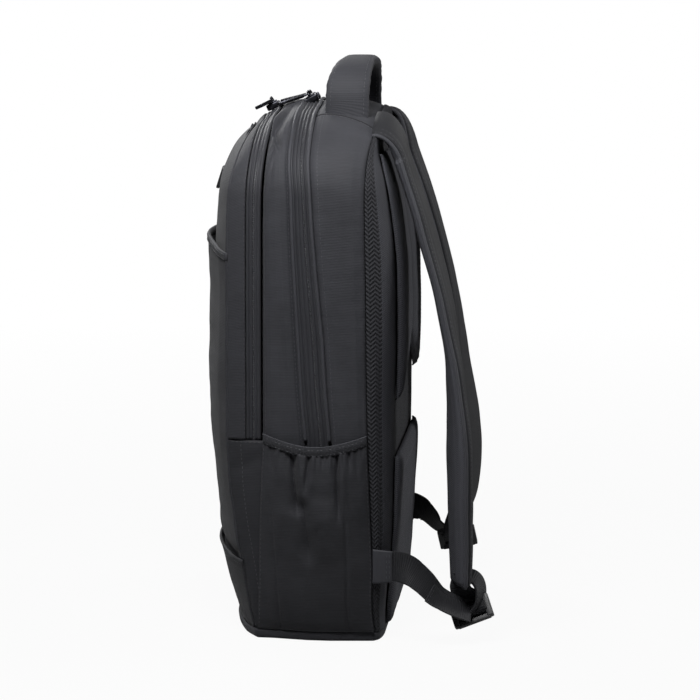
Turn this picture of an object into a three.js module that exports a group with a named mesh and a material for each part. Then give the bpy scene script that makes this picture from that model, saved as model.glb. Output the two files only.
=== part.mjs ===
import * as THREE from "three";

// Laptop backpack standing on its base, in millimetres, +Z up.
// The front compartment faces -Y and the harness faces +Y.
// The origin is on the floor, at the middle of the base.

// Body
const bodyHeight = 446;
const bodyWidth = 296;
const bodyDepth = 124;
const shoulderHeight = 0.834 * bodyHeight;
const cornerWidth = 112;
const crownHeight = 5;
const pocketSeamHeight = 0.377 * bodyHeight;
const baseThickness = 8;
const baseRound = 5;
const clothThickness = 2;
const clearance = 0.4;
const layerClearance = 0.6;

// Front
const frontDome = 30;
const overlayHeight = 0.135 * bodyHeight;
const pocketLipHeight = 0.711 * bodyHeight;
const pocketPouch = 8.5;
const middleGussetBulge = 1.4;
const frontGussetBulge = 0.6;
const crumpleDepth = 2.8;
const hemHeight = 6;
const hemFold = 1;
const tabWidth = 36;
const tabHeight = 20;
const tabThickness = 2.4;
const tabCentreHeight = 0.845 * bodyHeight;
const tabTilt = 0.1;

// Zips
const frontZipWidth = 13;
const mainZipWidth = 20;
const coilWidth = 5;
const coilHeight = 1.6;
const pipingWidth = 3;
const pipingHeight = 1.8;
const sliderLength = 11;
const sliderWidth = 7;
const sliderHeight = 2.6;
const bridgeLength = 6;
const bridgeHeight = 3;
const bridgeHole = 1.2;
const sliderSpread = 16;
const pullLength = 24;
const pullWidth = 6;
const pullThickness = 1.8;
const pullGap = 0.8;
const pullDroop = 0.12;
const pullSplay = 0.25;

// Back
const backDome = 22;
const backThickness = 12;
const backRim = 6;
const rearGussetBulge = 1.2;
const backFlat = 0.8;
const padThickness = 6;
const padRoll = 15;
const padTop = 0.904 * bodyHeight;
const padInnerFoot = 0.552 * bodyHeight;
const padOuterFoot = 0.448 * bodyHeight;
const padInnerShare = 0.07;
const padOuterShare = 0.78;
const lumbarTop = 0.343 * bodyHeight;
const lumbarFoot = 0.0314 * bodyHeight;

// Side pockets
const pocketBelly = 10;
const pocketThickness = 1.6;
const bindingHeight = 8;
const bindingThickness = 2.2;
const mouthRise = 6;
const mouthSag = 9;
const gatherDepth = 1.1;
const gatherCount = 7;
const foldDepth = 2.4;

// Handle
const handleSpan = 0.493 * bodyWidth;
const handleRise = 36.5;
const handleThickness = 9;
const handleWidth = 39;
const handleTopWidth = 29;
const handleCentre = 14;
const handleLean = 8;
const handleSeat = 1.3;

// Straps
const strapWidth = 62;
const strapThickness = 13;
const strapStandOff = 53;
const strapSpread = bodyWidth / 2;
const strapTopHeight = bodyHeight - 13;

// Webbing and ladder locks
const webbingWidth = 25;
const webbingThickness = 1.6;
const stubTopWidth = 22;
const stubLowWidth = 12;
const wingHeight = 27;
const wingLength = 16;
const wingThickness = 2.4;
const wingCentreHeight = 0.146 * bodyHeight;
const tailLength = 38;
const tailDrop = 3;
const lockWidth = 34;
const lockLength = 22;
const lockThickness = 5;
const lockBar = 3.4;
const lockCorner = 3;

// Reads rows of numbers under named columns
function table(columns, rows) {
  const names = columns.split(" ");
  return rows.map((row) => Object.fromEntries(names.map((name, index) => [name, row[index]])));
}

// One column's value where another column has the wanted value, along straight lines between rows
function lookUp(rows, key, value, column) {
  const found = rows.findIndex((row) => row[key] >= value);
  const index = Math.max(1, found < 0 ? rows.length - 1 : found);
  const low = rows[index - 1];
  const high = rows[index];
  const share = THREE.MathUtils.clamp((value - low[key]) / (high[key] - low[key]), 0, 1);
  return THREE.MathUtils.lerp(low[column], high[column], share);
}

// Sections of the body by height. Height and rise are shares of its height, width of its width,
// seams of its depth, and domes of the front's and the back's dome.
// The rise lifts a fabric line of the front towards the middle.
const sectionColumns = "height width frontSeam frontZip pocketFront mainZip rearSeam rise frontDome backDome";
const sections = table(sectionColumns, [
  [0.018, 0.945, -0.452, -0.44, -0.43, -0.09, 0.375, 0, 0.7, 0.27],
  [0.045, 0.965, -0.472, -0.455, -0.42, -0.09, 0.355, 0.009, 0.82, 0.37],
  [0.09, 0.98, -0.5, -0.475, -0.415, -0.09, 0.351, 0.022, 0.95, 0.48],
  [0.135, 0.986, -0.524, -0.49, -0.41, -0.09, 0.357, 0.038, 1, 0.535],
  [0.213, 0.992, -0.577, -0.5, -0.405, -0.09, 0.347, 0.038, 0.883, 0.7],
  [0.291, 0.997, -0.613, -0.5, -0.395, -0.09, 0.335, 0.038, 0.833, 0.8],
  [0.377, 1, -0.629, -0.5, -0.38, -0.09, 0.323, 0.034, 0.85, 0.89],
  [0.46, 1, -0.629, -0.5, -0.375, -0.119, 0.316, 0.034, 0.85, 0.93],
  [0.545, 1, -0.629, -0.5, -0.375, -0.137, 0.312, 0.03, 0.79, 1],
  [0.628, 1, -0.629, -0.5, -0.375, -0.155, 0.31, 0.03, 0.725, 1],
  [0.711, 0.998, -0.629, -0.5, -0.375, -0.172, 0.305, 0.029, 0.717, 1],
  [0.771, 0.995, -0.627, -0.5, -0.375, -0.182, 0.301, 0.018, 0.68, 0.885],
  [0.834, 0.985, -0.621, -0.498, -0.375, -0.188, 0.298, 0.007, 0.64, 0.72],
  [0.897, 0.975, -0.581, -0.49, -0.375, -0.21, 0.306, 0, 0.53, 0.45],
  [0.951, 0.965, -0.536, -0.48, -0.375, -0.208, 0.341, 0, 0, 0.2],
  [1, 0.96, -0.536, -0.468, -0.375, -0.206, 0.351, 0, 0, 0],
]);

// Seams that run up the side and over the top, with the width and height of their outline
const stations = {
  frontSeam: { width: 0.905, top: 0.951 },
  frontZip: { width: 0.932, top: 0.971 },
  frontZipRear: { width: 0.939, top: 0.993 },
  mainZip: { width: 0.986, top: 1 },
  mainZipRear: { width: 0.993, top: 1 },
  rearSeam: { width: 0.986, top: 0.987 },
};

// Domes over the shoulders, by the share of the turn from the side to the top
const shoulderDomes = table("turn front back", [
  [0, 0.633, 0.72],
  [1 / 6, 0.61, 0.525],
  [2 / 6, 0.53, 0.3],
  [3 / 6, 0.42, 0.22],
  [4 / 6, 0.22, 0.2],
  [5 / 6, 0.05, 0.13],
  [1, 0, 0],
]);

// The main zip's tape narrows towards the shoulders
const mainZipTaper = table("height share", [
  [0.56, 1],
  [0.75, 0.84],
  [0.82, 0.78],
  [1, 0.78],
]);

const frontColumns = [-1, -0.94, -0.8, -0.55, -0.2, 0.2, 0.55, 0.8, 0.94, 1];
const backColumns = [-1, -0.985, -0.94, -0.88, -0.8, -0.4, 0, 0.4, 0.8, 0.88, 0.94, 0.985, 1];
const shoulderSteps = 6;
const topSteps = 4;

// Heights of the lines at which the side is divided, and the lines where pieces end
const lineZones = [
  { from: baseThickness + clearance, to: overlayHeight, steps: 3 },
  { from: overlayHeight, to: pocketSeamHeight, steps: 3 },
  { from: pocketSeamHeight, to: pocketLipHeight, steps: 3 },
  { from: pocketLipHeight, to: shoulderHeight, steps: 2 },
];
const lineHeights = [lineZones[0].from];
const zoneEnds = [];
for (const { from, to, steps } of lineZones) {
  for (let step = 1; step <= steps; step += 1) lineHeights.push(from + ((to - from) * step) / steps);
  zoneEnds.push(lineHeights.length - 1);
}
const [overlayLine, seamLine, lipLine, shoulderLine] = zoneEnds;

// A closed geometry from points and triangles, turned so that its faces point out
function closedGeometry(points, triangles) {
  let volume = 0;
  for (const [a, b, c] of triangles) {
    volume += points[a].dot(new THREE.Vector3().crossVectors(points[b], points[c]));
  }
  const facing = volume < 0 ? triangles.map(([a, b, c]) => [a, c, b]) : triangles;
  const geometry = new THREE.BufferGeometry();
  const numbers = points.flatMap((point) => point.toArray());
  geometry.setAttribute("position", new THREE.Float32BufferAttribute(numbers, 3));
  geometry.setIndex(facing.flat());
  geometry.computeVertexNormals();
  return geometry;
}

// A wall between two grids of the same size, closed along their four edges
function wall(outer, inner) {
  const rows = outer.length;
  const columns = outer[0].length;
  const points = [...outer.flat(), ...inner.flat()];
  const far = rows * columns;
  const triangles = [];
  const quad = (a, b, c, d) => triangles.push([a, b, c], [a, c, d]);
  const at = (row, column) => row * columns + column;
  for (let row = 0; row < rows - 1; row += 1) {
    for (let column = 0; column < columns - 1; column += 1) {
      const a = at(row, column);
      const b = at(row, column + 1);
      const c = at(row + 1, column + 1);
      const d = at(row + 1, column);
      triangles.push([a, b, c], [a, c, d]);
      triangles.push([far + a, far + c, far + b], [far + a, far + d, far + c]);
    }
  }
  const rim = [];
  for (let column = 0; column < columns - 1; column += 1) rim.push(at(0, column));
  for (let row = 0; row < rows - 1; row += 1) rim.push(at(row, columns - 1));
  for (let column = columns - 1; column > 0; column -= 1) rim.push(at(rows - 1, column));
  for (let row = rows - 1; row > 0; row -= 1) rim.push(at(row, 0));
  rim.forEach((from, index) => {
    const to = rim[(index + 1) % rim.length];
    quad(to, from, far + from, far + to);
  });
  return closedGeometry(points, triangles);
}

// A solid through rings of the same number of points, capped at both ends
function loft(rings) {
  const count = rings[0].length;
  const points = rings.flat();
  const triangles = [];
  for (let ring = 0; ring < rings.length - 1; ring += 1) {
    for (let index = 0; index < count; index += 1) {
      const a = ring * count + index;
      const b = ring * count + ((index + 1) % count);
      triangles.push([a, b, b + count], [a, b + count, a + count]);
    }
  }
  for (const ring of [0, rings.length - 1]) {
    const centre = new THREE.Vector3();
    rings[ring].forEach((point) => centre.addScaledVector(point, 1 / count));
    points.push(centre);
    const middle = points.length - 1;
    for (let index = 0; index < count; index += 1) {
      const a = ring * count + index;
      const b = ring * count + ((index + 1) % count);
      triangles.push(ring === 0 ? [middle, b, a] : [middle, a, b]);
    }
  }
  return closedGeometry(points, triangles);
}

const section = (column, height) => lookUp(sections, "height", height / bodyHeight, column);

// How far behind or in front of the origin a station lies at a height
function stationPlace(name, height) {
  if (name === "frontZipRear") return bodyDepth * section("frontZip", height) + frontZipWidth;
  if (name === "mainZipRear") {
    const share = lookUp(mainZipTaper, "height", height / bodyHeight, "share");
    return bodyDepth * section("mainZip", height) + mainZipWidth * share;
  }
  return bodyDepth * section(name, height);
}

// Half width and height of a station at each line, and round the shoulder to the top edge
function stationLevels(name, inset = 0) {
  const half = (bodyWidth / 2) * stations[name].width;
  const topEdge = bodyHeight * stations[name].top - crownHeight - inset;
  const width = (height) => section("width", height);
  const levels = lineHeights.map((height) => ({ half: half * width(height) - inset, height, turn: 0 }));
  for (let step = 1; step <= shoulderSteps; step += 1) {
    const turn = step / shoulderSteps;
    const angle = turn * (Math.PI / 2);
    const height = shoulderHeight + (topEdge - shoulderHeight) * Math.sin(angle);
    const across = half - cornerWidth * (1 - Math.cos(angle));
    levels.push({ half: across * width(height) - inset, height, turn });
  }
  return levels;
}

// Points along a station: up the left side, over the top and down the right side
function arch(name) {
  const side = stationLevels(name)
    .slice(seamLine)
    .map((level) => new THREE.Vector3(level.half, stationPlace(name, level.height), level.height));
  side[0].z += clearance / 2;
  const edge = side[side.length - 1];
  const top = [];
  for (let step = 1; step < topSteps; step += 1) {
    const share = (2 * step) / topSteps - 1;
    top.push(new THREE.Vector3(edge.x * share, edge.y, edge.z + crownHeight * (1 - share * share)));
  }
  const left = side.map((point) => new THREE.Vector3(-point.x, point.y, point.z));
  return [...left, ...top, ...side.reverse()];
}

// Outward directions along an arch, with no share along the depth of the bag
function archNormals(points) {
  return points.map((point, index) => {
    const before = points[Math.max(0, index - 1)];
    const after = points[Math.min(points.length - 1, index + 1)];
    return new THREE.Vector3(before.z - after.z, 0, after.x - before.x).normalize();
  });
}

// Rows of points between two stations. A row has its share of the way and its lift off the line.
function bandGrid(front, rear, rows, lift, dent = () => 0) {
  const start = arch(front);
  const end = arch(rear);
  const normals = archNormals(end);
  return rows.map(({ share, rise, shift }) =>
    start.map((point, index) => {
      const place = new THREE.Vector3().lerpVectors(point, end[index], share);
      place.y += shift ?? 0;
      const along = index / (start.length - 1);
      return place.addScaledVector(normals[index], rise + lift + dent(share, along));
    }),
  );
}

// A band of cloth between two stations that keeps clear of its neighbours
function band(front, rear, profile, dent) {
  const rows = table("share rise", profile);
  rows[0].shift = clearance / 2;
  rows[rows.length - 1].shift = -clearance / 2;
  return wall(bandGrid(front, rear, rows, 0, dent), bandGrid(front, rear, rows, -clothThickness, dent));
}

const ribProfile = table("place lift", [
  [-0.5, 0.3],
  [-0.2, 1],
  [0.2, 1],
  [0.5, 0.3],
]);

// A closed coil that lies on the middle of a zip's tape
function coil(front, rear, tapeWidth, centreShare, tapeLift) {
  const rows = ribProfile.map((row) => ({
    share: centreShare + (row.place * coilWidth) / tapeWidth,
    rise: row.lift * coilHeight,
  }));
  const flat = rows.map(({ share }) => ({ share, rise: 0 }));
  const lift = tapeLift + layerClearance;
  return wall(bandGrid(front, rear, rows, lift), bandGrid(front, rear, flat, lift));
}

// A piping that covers the seam at a station
function piping(name) {
  const line = arch(name);
  const normals = archNormals(line);
  const grid = (height) =>
    ribProfile.map((row) =>
      line.map((point, index) => {
        const place = point.clone();
        place.y += row.place * pipingWidth;
        return place.addScaledVector(normals[index], layerClearance + height * row.lift);
      }),
    );
  return wall(grid(pipingHeight), grid(0));
}

// How far each fabric line of the front and the back stands out, at a share of the half width
const frontArc = (share) => 1 - Math.abs(share) ** 2.2;
const riseArc = (share) => 1 - Math.abs(share) ** 1.8;
const crownArc = (share) => 1 - share * share;
function backArc(share) {
  const past = (Math.abs(share) - backFlat) / (1 - backFlat);
  return past <= 0 ? 1 : Math.sqrt(Math.max(0, 1 - past * past));
}

function domeShare(level, side) {
  if (level.turn > 0) return lookUp(shoulderDomes, "turn", level.turn, side);
  return section(side === "front" ? "frontDome" : "backDome", level.height);
}

// Height of a fabric line at a share of the half width
function lineHeight(level, share, side) {
  if (level.turn > 0) {
    return level.height + crownHeight * Math.sin(level.turn * (Math.PI / 2)) * crownArc(share);
  }
  const rise = side === "front" ? section("rise", level.height) * bodyHeight * riseArc(share) : 0;
  return level.height + rise;
}

// The front's surface, moved out by an offset and by a pouch that is deepest in the middle
function frontGrid(fromLine, toLine, offset, pouch = () => 0) {
  const base = stationLevels("frontSeam").slice(fromLine, toLine + 1);
  const moved = stationLevels("frontSeam", -offset).slice(fromLine, toLine + 1);
  return base.map((level, row) =>
    frontColumns.map((share) => {
      const arc = frontArc(share);
      const dome = frontDome * domeShare(level, "front") * arc;
      const added = offset + pouch(row / Math.max(1, base.length - 1));
      const depth = Math.max(0, dome + added * Math.min(1, 4 * arc));
      const seam = stationPlace("frontSeam", level.height);
      const height = lineHeight(level, share, "front") + moved[row].height - level.height;
      return new THREE.Vector3(moved[row].half * share, seam - clearance / 2 - depth, height);
    }),
  );
}

// The back's surface, moved in by an inset
function backGrid(thickness, rim) {
  const base = stationLevels("rearSeam");
  const moved = stationLevels("rearSeam", rim);
  return base.map((level, row) =>
    backColumns.map((share) => {
      const depth = Math.max(0, backDome * domeShare(level, "back") * backArc(share) - thickness);
      const seam = stationPlace("rearSeam", level.height);
      const height = lineHeight(level, share, "back") + moved[row].height - level.height;
      return new THREE.Vector3(moved[row].half * share, seam + clearance / 2 + depth, height);
    }),
  );
}

// Y of the back panel's outer face over the flat middle part of its width
const backRows = stationLevels("rearSeam").map((level) => ({
  height: level.height,
  half: level.half,
  rise: level.turn > 0 ? crownHeight * Math.sin(level.turn * (Math.PI / 2)) : 0,
  place: stationPlace("rearSeam", level.height) + clearance / 2 + backDome * domeShare(level, "back"),
}));
function backSurface(x, z) {
  let height = z;
  for (let pass = 0; pass < 3; pass += 1) {
    const share = Math.min(1, Math.abs(x) / lookUp(backRows, "height", height, "half"));
    height = z - lookUp(backRows, "height", height, "rise") * crownArc(share);
  }
  return lookUp(backRows, "height", height, "place");
}

// How much of the pads' thickness there is at a height
const padLift = table("height share", [
  [0.03, 0.3],
  [0.1, 0.4],
  [0.135, 0.46],
  [0.213, 0.6],
  [0.291, 0.78],
  [0.377, 0.9],
  [0.46, 1],
  [0.628, 1],
  [0.711, 0.9],
  [0.771, 0.8],
  [0.834, 0.6],
  [0.871, 0.45],
  [0.905, 0.3],
  [0.94, 0],
]);
const padShare = (z) => lookUp(padLift, "height", z / bodyHeight, "share");
const strapSeat = (x, z) => backSurface(x, z) + clearance + padThickness * padShare(z) + layerClearance;

// A pad on the back between two shares of its width, with edges rolled down to the panel
function backPad(fromShare, toShare, fromFoot, toFoot, top) {
  const start = Math.max(fromFoot, toFoot) + padRoll;
  const lines = backRows.map((row) => row.height).filter((height) => height > start && height < top);
  const grid = (height) => {
    const rows = [];
    const steps = [0, padRoll / 4, padRoll].map((step) => ({ step }));
    for (const { step, line } of [...steps, ...lines.map((line) => ({ line })), { line: top }]) {
      rows.push(
        [0, 0.06, 0.2, 0.5, 0.8, 0.94, 1].map((across) => {
          const share = THREE.MathUtils.lerp(fromShare, toShare, across);
          const foot = THREE.MathUtils.lerp(fromFoot, toFoot, across);
          const level = line ?? foot + step;
          const z = level + lookUp(backRows, "height", level, "rise") * crownArc(share);
          const x = share * lookUp(backRows, "height", level, "half");
          const sideEdge = 1 - Math.abs(2 * across - 1);
          const edge = Math.min(sideEdge, (level - foot) / padRoll, (top - level) / padRoll);
          const crown = 0.2 + 0.8 * Math.min(1, Math.sqrt(Math.max(0, edge) * 2.4));
          const seat = lookUp(backRows, "height", level, "place") + layerClearance;
          return new THREE.Vector3(x, seat + height * padShare(level) * crown, z);
        }),
      );
    }
    return rows;
  };
  return wall(grid(padThickness), grid(0));
}

// Half width of the side at a place and a height
const sideStations = ["frontSeam", "frontZip", "frontZipRear", "mainZip", "mainZipRear", "rearSeam"];
function sideWidth(y, height) {
  const rows = sideStations.map((name) => ({
    place: stationPlace(name, height),
    half: (bodyWidth / 2) * stations[name].width * section("width", height),
  }));
  return lookUp(rows, "place", y, "half");
}

function lowerSide(side) {
  const rows = lineHeights.slice(0, seamLine + 1);
  const grid = (inset) =>
    rows.map((height, row) =>
      sideStations.map((name, column) => {
        let y = stationPlace(name, height);
        if (column === 0) y += clearance / 2;
        if (column === sideStations.length - 1) y -= clearance / 2;
        const x = (bodyWidth / 2) * stations[name].width * section("width", height) - inset;
        return new THREE.Vector3(side * x, y, row === rows.length - 1 ? height - clearance / 2 : height);
      }),
    );
  return wall(grid(0), grid(clothThickness));
}

// Side pocket: how far the cloth stands off the side wall, by the share of the way up
const bellyRows = table("up share", [
  [0, 0.12],
  [0.15, 0.6],
  [0.4, 0.95],
  [0.65, 1],
  [0.85, 0.8],
  [1, 0.66],
]);
const pocketRows = [0, 0.08, 0.22, 0.4, 0.6, 0.76, 0.9, 1];
const pocketColumnCount = 20;

const mouthHeight = (across) => pocketSeamHeight + mouthRise - mouthSag * Math.sin(Math.PI * across);

// Deep folds of the side pocket: place across, width and depth as shares
const pocketFolds = table("across width depth low high", [
  [0.33, 0.045, 1, 0.45, 1],
  [0.14, 0.03, 0.5, -0.2, 0.7],
  [0.85, 0.03, 0.6, -0.2, 0.75],
]);

function pocketStandOff(across, up) {
  const belly = pocketBelly * lookUp(bellyRows, "up", up, "share") * Math.sin(Math.PI * across) ** 0.7;
  const gather = gatherDepth * Math.cos(2 * Math.PI * gatherCount * across) * Math.max(0, (up - 0.7) / 0.3);
  const edge = Math.min(1, 6 * across * (1 - across));
  let fold = 0;
  for (const row of pocketFolds) {
    const way = THREE.MathUtils.clamp((up - row.low) / (row.high - row.low), 0, 1);
    const fade = Math.max(0, Math.sin(Math.PI * way));
    fold += foldDepth * row.depth * fade * Math.exp(-(((across - row.across) / row.width) ** 2));
  }
  return layerClearance + Math.max(0, belly + (gather - fold) * edge);
}

function pocketPoint(side, across, height, standOff) {
  const front = bodyDepth * section("pocketFront", height);
  const rear = stationPlace("rearSeam", height) - clearance;
  const y = THREE.MathUtils.lerp(front, rear, across);
  return new THREE.Vector3(side * (sideWidth(y, height) + standOff), y, height);
}

function pocketShares() {
  return Array.from({ length: pocketColumnCount + 1 }, (_, index) => index / pocketColumnCount);
}

function sidePocket(side) {
  const grid = (thickness) =>
    pocketRows.map((up) =>
      pocketShares().map((across) => {
        const top = mouthHeight(across) - bindingHeight - clearance;
        const height = THREE.MathUtils.lerp(baseThickness + clearance, top, up);
        return pocketPoint(side, across, height, pocketStandOff(across, up) + thickness);
      }),
    );
  return wall(grid(pocketThickness), grid(0));
}

function pocketBinding(side) {
  const grid = (thickness) =>
    [bindingHeight, 0].map((drop) =>
      pocketShares().map((across) => {
        const plain = pocketBelly * lookUp(bellyRows, "up", 1, "share") * Math.sin(Math.PI * across) ** 0.7;
        const height = mouthHeight(across) - drop;
        return pocketPoint(side, across, height, layerClearance + plain + thickness);
      }),
    );
  return wall(grid(bindingThickness), grid(0));
}

// The padded base: its outline follows the walls that stand on it
function basePanel() {
  const front = frontGrid(0, 0, layerClearance + clothThickness)[0];
  const back = backGrid(0, 0)[0].slice().reverse();
  const edge = layerClearance + pocketThickness;
  const side = sideStations.slice(1, -1).map((name) => {
    const half = (bodyWidth / 2) * stations[name].width * section("width", baseThickness) + edge;
    return new THREE.Vector3(half, stationPlace(name, baseThickness), 0);
  });
  const left = side.map((point) => new THREE.Vector3(-point.x, point.y, 0)).reverse();
  const outline = [...front, ...side, ...back, ...left];
  const ring = (height, inset) =>
    outline.map((point) => {
      const x = point.x * (1 - inset / (bodyWidth / 2));
      const y = point.y * (1 - inset / (bodyDepth / 2));
      return new THREE.Vector3(x, y, height);
    });
  const round = [0, 0.3, 0.7, 1];
  const rings = round.map((share) =>
    ring(baseRound * (1 - Math.sqrt(1 - share * share)), baseRound * (1 - share)),
  );
  return loft([...rings, ring(baseThickness, 0)]);
}

// A flat ring of points with rounded corners, across `wide` and through `thick`
function ribbonRing(centre, wide, thick, width, thickness, corner = 0.5) {
  const bevel = Math.min(width, thickness) * corner;
  const places = [];
  for (const [x, y] of [[1, 1], [-1, 1], [-1, -1], [1, -1]]) {
    const first = [x * (width / 2), y * (thickness / 2 - bevel)];
    const middle = [x * (width / 2 - bevel * 0.3), y * (thickness / 2 - bevel * 0.3)];
    const last = [x * (width / 2 - bevel), y * (thickness / 2)];
    places.push(...(x * y > 0 ? [first, middle, last] : [last, middle, first]));
  }
  return places.map(([across, through]) =>
    centre.clone().addScaledVector(wide, across).addScaledVector(thick, through),
  );
}

// A ribbon of four-cornered section
function flatRing(centre, wide, thick, width, thickness) {
  return [[1, 1], [-1, 1], [-1, -1], [1, -1]].map(([x, y]) =>
    centre
      .clone()
      .addScaledVector(wide, (x * width) / 2)
      .addScaledVector(thick, (y * thickness) / 2),
  );
}

// Height of a mesh's top face over a place
function topFace(mesh, x, y) {
  const ray = new THREE.Raycaster(new THREE.Vector3(x, y, 2 * bodyHeight), new THREE.Vector3(0, 0, -1));
  return ray.intersectObject(mesh)[0].point.z;
}

function handle(gusset) {
  const steps = 16;
  const crest = bodyHeight + handleRise - handleThickness / 2;
  const foot = topFace(gusset, handleSpan / 2, handleCentre);
  const rings = [];
  for (let step = 0; step <= steps; step += 1) {
    const angle = (Math.PI * step) / steps;
    const lift = Math.sin(angle) ** 0.8;
    const across = Math.sign(Math.cos(angle)) * Math.abs(Math.cos(angle)) ** 0.85;
    const centre = new THREE.Vector3(
      (handleSpan / 2) * across,
      handleCentre + handleLean * lift,
      foot + (crest - foot) * lift,
    );
    const along = new THREE.Vector3(-Math.sin(angle) * (handleSpan / 2), 0, Math.cos(angle) * (crest - foot));
    const wide = new THREE.Vector3(0, 1, 0);
    const thick = new THREE.Vector3().crossVectors(along.normalize(), wide).normalize();
    const width = THREE.MathUtils.lerp(handleWidth, handleTopWidth, lift);
    const ring = ribbonRing(centre, wide, thick, width, handleThickness, 0.45);
    if (step === 0 || step === steps) {
      ring.forEach((point) => {
        point.z = topFace(gusset, point.x, point.y) + handleSeat;
      });
    }
    rings.push(ring);
  }
  return loft(rings);
}

// Straps by height: spread, distance from the bag, width and thickness as shares, roll in degrees.
// The right strap hangs a little further out than the left one.
const strapRows = table("height spread rightOff leftOff width thickness roll", [
  [1, 0.486, 0, 0, 0.82, 0.62, 0],
  [0.985, 0.489, 0.01, 0.005, 0.84, 0.85, 0],
  [0.954, 0.5, 0.035, 0.01, 0.88, 1, 0],
  [0.925, 0.513, 0.07, 0.03, 0.92, 1, 0],
  [0.857, 0.527, 0.1, 0.08, 1, 1, 1],
  [0.815, 0.554, 0.185, 0.115, 1, 1, 1],
  [0.757, 0.58, 0.255, 0.165, 1, 1, 2],
  [0.709, 0.608, 0.355, 0.23, 1, 1, 2],
  [0.656, 0.635, 0.45, 0.32, 1, 1, 3],
  [0.612, 0.662, 0.51, 0.39, 1, 1, 3],
  [0.563, 0.69, 0.6, 0.46, 1, 1, 4],
  [0.517, 0.716, 0.68, 0.54, 1, 1, 4],
  [0.457, 0.743, 0.745, 0.64, 1, 1, 5],
  [0.4, 0.77, 0.78, 0.71, 1, 1, 5],
  [0.342, 0.797, 0.81, 0.75, 0.97, 1, 5],
  [0.282, 0.818, 0.84, 0.775, 0.88, 1, 5],
  [0.233, 0.838, 0.85, 0.78, 0.78, 0.95, 5],
  [0.176, 0.858, 0.9, 0.76, 0.66, 0.85, 4],
]);
const strapEndShape = { spread: 0.872, width: 0.56, thickness: 0.6, roll: 2 };
const strapEnds = {
  right: { height: 0.118, off: 1 },
  left: { height: 0.152, off: 0.74 },
};

function strapPlaces(name) {
  const end = strapEnds[name];
  const body = strapRows.map((row) => ({ ...row, off: row[`${name}Off`] }));
  const last = body[body.length - 1];
  body.push({ ...last, ...strapEndShape, height: end.height, off: end.off });
  const side = name === "right" ? 1 : -1;
  return body.map((row) => {
    const x = side * row.spread * strapSpread;
    const z = row.height * strapTopHeight;
    const seat = strapSeat(x, z) + (strapThickness * row.thickness) / 2;
    return { ...row, side, centre: new THREE.Vector3(x, seat + row.off * strapStandOff, z) };
  });
}

function strap(name) {
  const places = strapPlaces(name);
  return loft(
    places.map((place, index) => {
      const before = places[Math.max(0, index - 1)].centre;
      const after = places[Math.min(places.length - 1, index + 1)].centre;
      const along = new THREE.Vector3().subVectors(after, before);
      if (index === 0 || index === places.length - 1) along.set(0, 0, -1);
      along.normalize();
      const roll = THREE.MathUtils.degToRad(place.roll) * place.side;
      const wide = new THREE.Vector3(Math.cos(roll), -Math.sin(roll), 0);
      wide.addScaledVector(along, -wide.dot(along)).normalize();
      const thick = new THREE.Vector3().crossVectors(wide, along).normalize();
      const width = strapWidth * place.width;
      return ribbonRing(place.centre, wide, thick, width, strapThickness * place.thickness, 0.45);
    }),
  );
}

// Ladder locks: place from the strap's end, and the tilt of their bars
const lockPlaces = {
  right: { forward: 9.5, drop: 25.5, tilt: 0.38 },
  left: { forward: -2, drop: 26, tilt: 0.17 },
};

function lockFrame(name) {
  const places = strapPlaces(name);
  const end = places[places.length - 1];
  const { forward, drop, tilt } = lockPlaces[name];
  const centre = end.centre.clone().add(new THREE.Vector3(0, forward, -drop));
  const bar = new THREE.Vector3(0, Math.cos(tilt), Math.sin(tilt));
  const up = new THREE.Vector3(0, -Math.sin(tilt), Math.cos(tilt));
  return { centre, bar, up, side: end.side, end: end.centre };
}

function ladderLock(name) {
  const { centre, bar, up } = lockFrame(name);
  const half = lockWidth / 2;
  const tall = lockLength / 2;
  const outline = new THREE.Shape();
  outline.moveTo(-half + lockCorner, -tall);
  outline.lineTo(half - lockCorner, -tall);
  outline.lineTo(half, -tall + lockCorner);
  outline.lineTo(half, tall - lockCorner);
  outline.lineTo(half - lockCorner, tall);
  outline.lineTo(-half + lockCorner, tall);
  outline.lineTo(-half, tall - lockCorner);
  outline.lineTo(-half, -tall + lockCorner);
  outline.closePath();
  const slot = (lockLength - 3 * lockBar) / 2;
  for (const side of [-1, 1]) {
    const low = side < 0 ? -tall + lockBar : lockBar / 2;
    const hole = new THREE.Path();
    hole.moveTo(-half + lockBar, low);
    hole.lineTo(-half + lockBar, low + slot);
    hole.lineTo(half - lockBar, low + slot);
    hole.lineTo(half - lockBar, low);
    hole.closePath();
    outline.holes.push(hole);
  }
  const geometry = new THREE.ExtrudeGeometry(outline, { depth: lockThickness, bevelEnabled: false });
  geometry.translate(0, 0, -lockThickness / 2);
  const through = new THREE.Vector3().crossVectors(bar, up);
  geometry.applyMatrix4(new THREE.Matrix4().makeBasis(bar, up, through).setPosition(centre));
  return geometry;
}

// The short webbing between a strap's end and its ladder lock, turned a quarter on its way
function strapStub(name) {
  const { centre, bar, up, end } = lockFrame(name);
  const from = end.clone().add(new THREE.Vector3(0, 0, -layerClearance));
  const to = centre.clone().addScaledVector(up, lockLength / 2 + layerClearance);
  const steps = 8;
  const rings = [];
  for (let step = 0; step <= steps; step += 1) {
    const share = step / steps;
    const place = new THREE.Vector3().lerpVectors(from, to, share);
    const along = new THREE.Vector3(0, 0, -1).lerp(up.clone().negate(), share).normalize();
    const turn = (share * Math.PI) / 2;
    const wide = new THREE.Vector3(Math.cos(turn), 0, 0).addScaledVector(bar, Math.sin(turn));
    wide.addScaledVector(along, -wide.dot(along)).normalize();
    const thick = new THREE.Vector3().crossVectors(wide, along).normalize();
    const width = THREE.MathUtils.lerp(stubTopWidth, stubLowWidth, share);
    rings.push(flatRing(place, wide, thick, width, webbingThickness));
  }
  return loft(rings);
}

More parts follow.
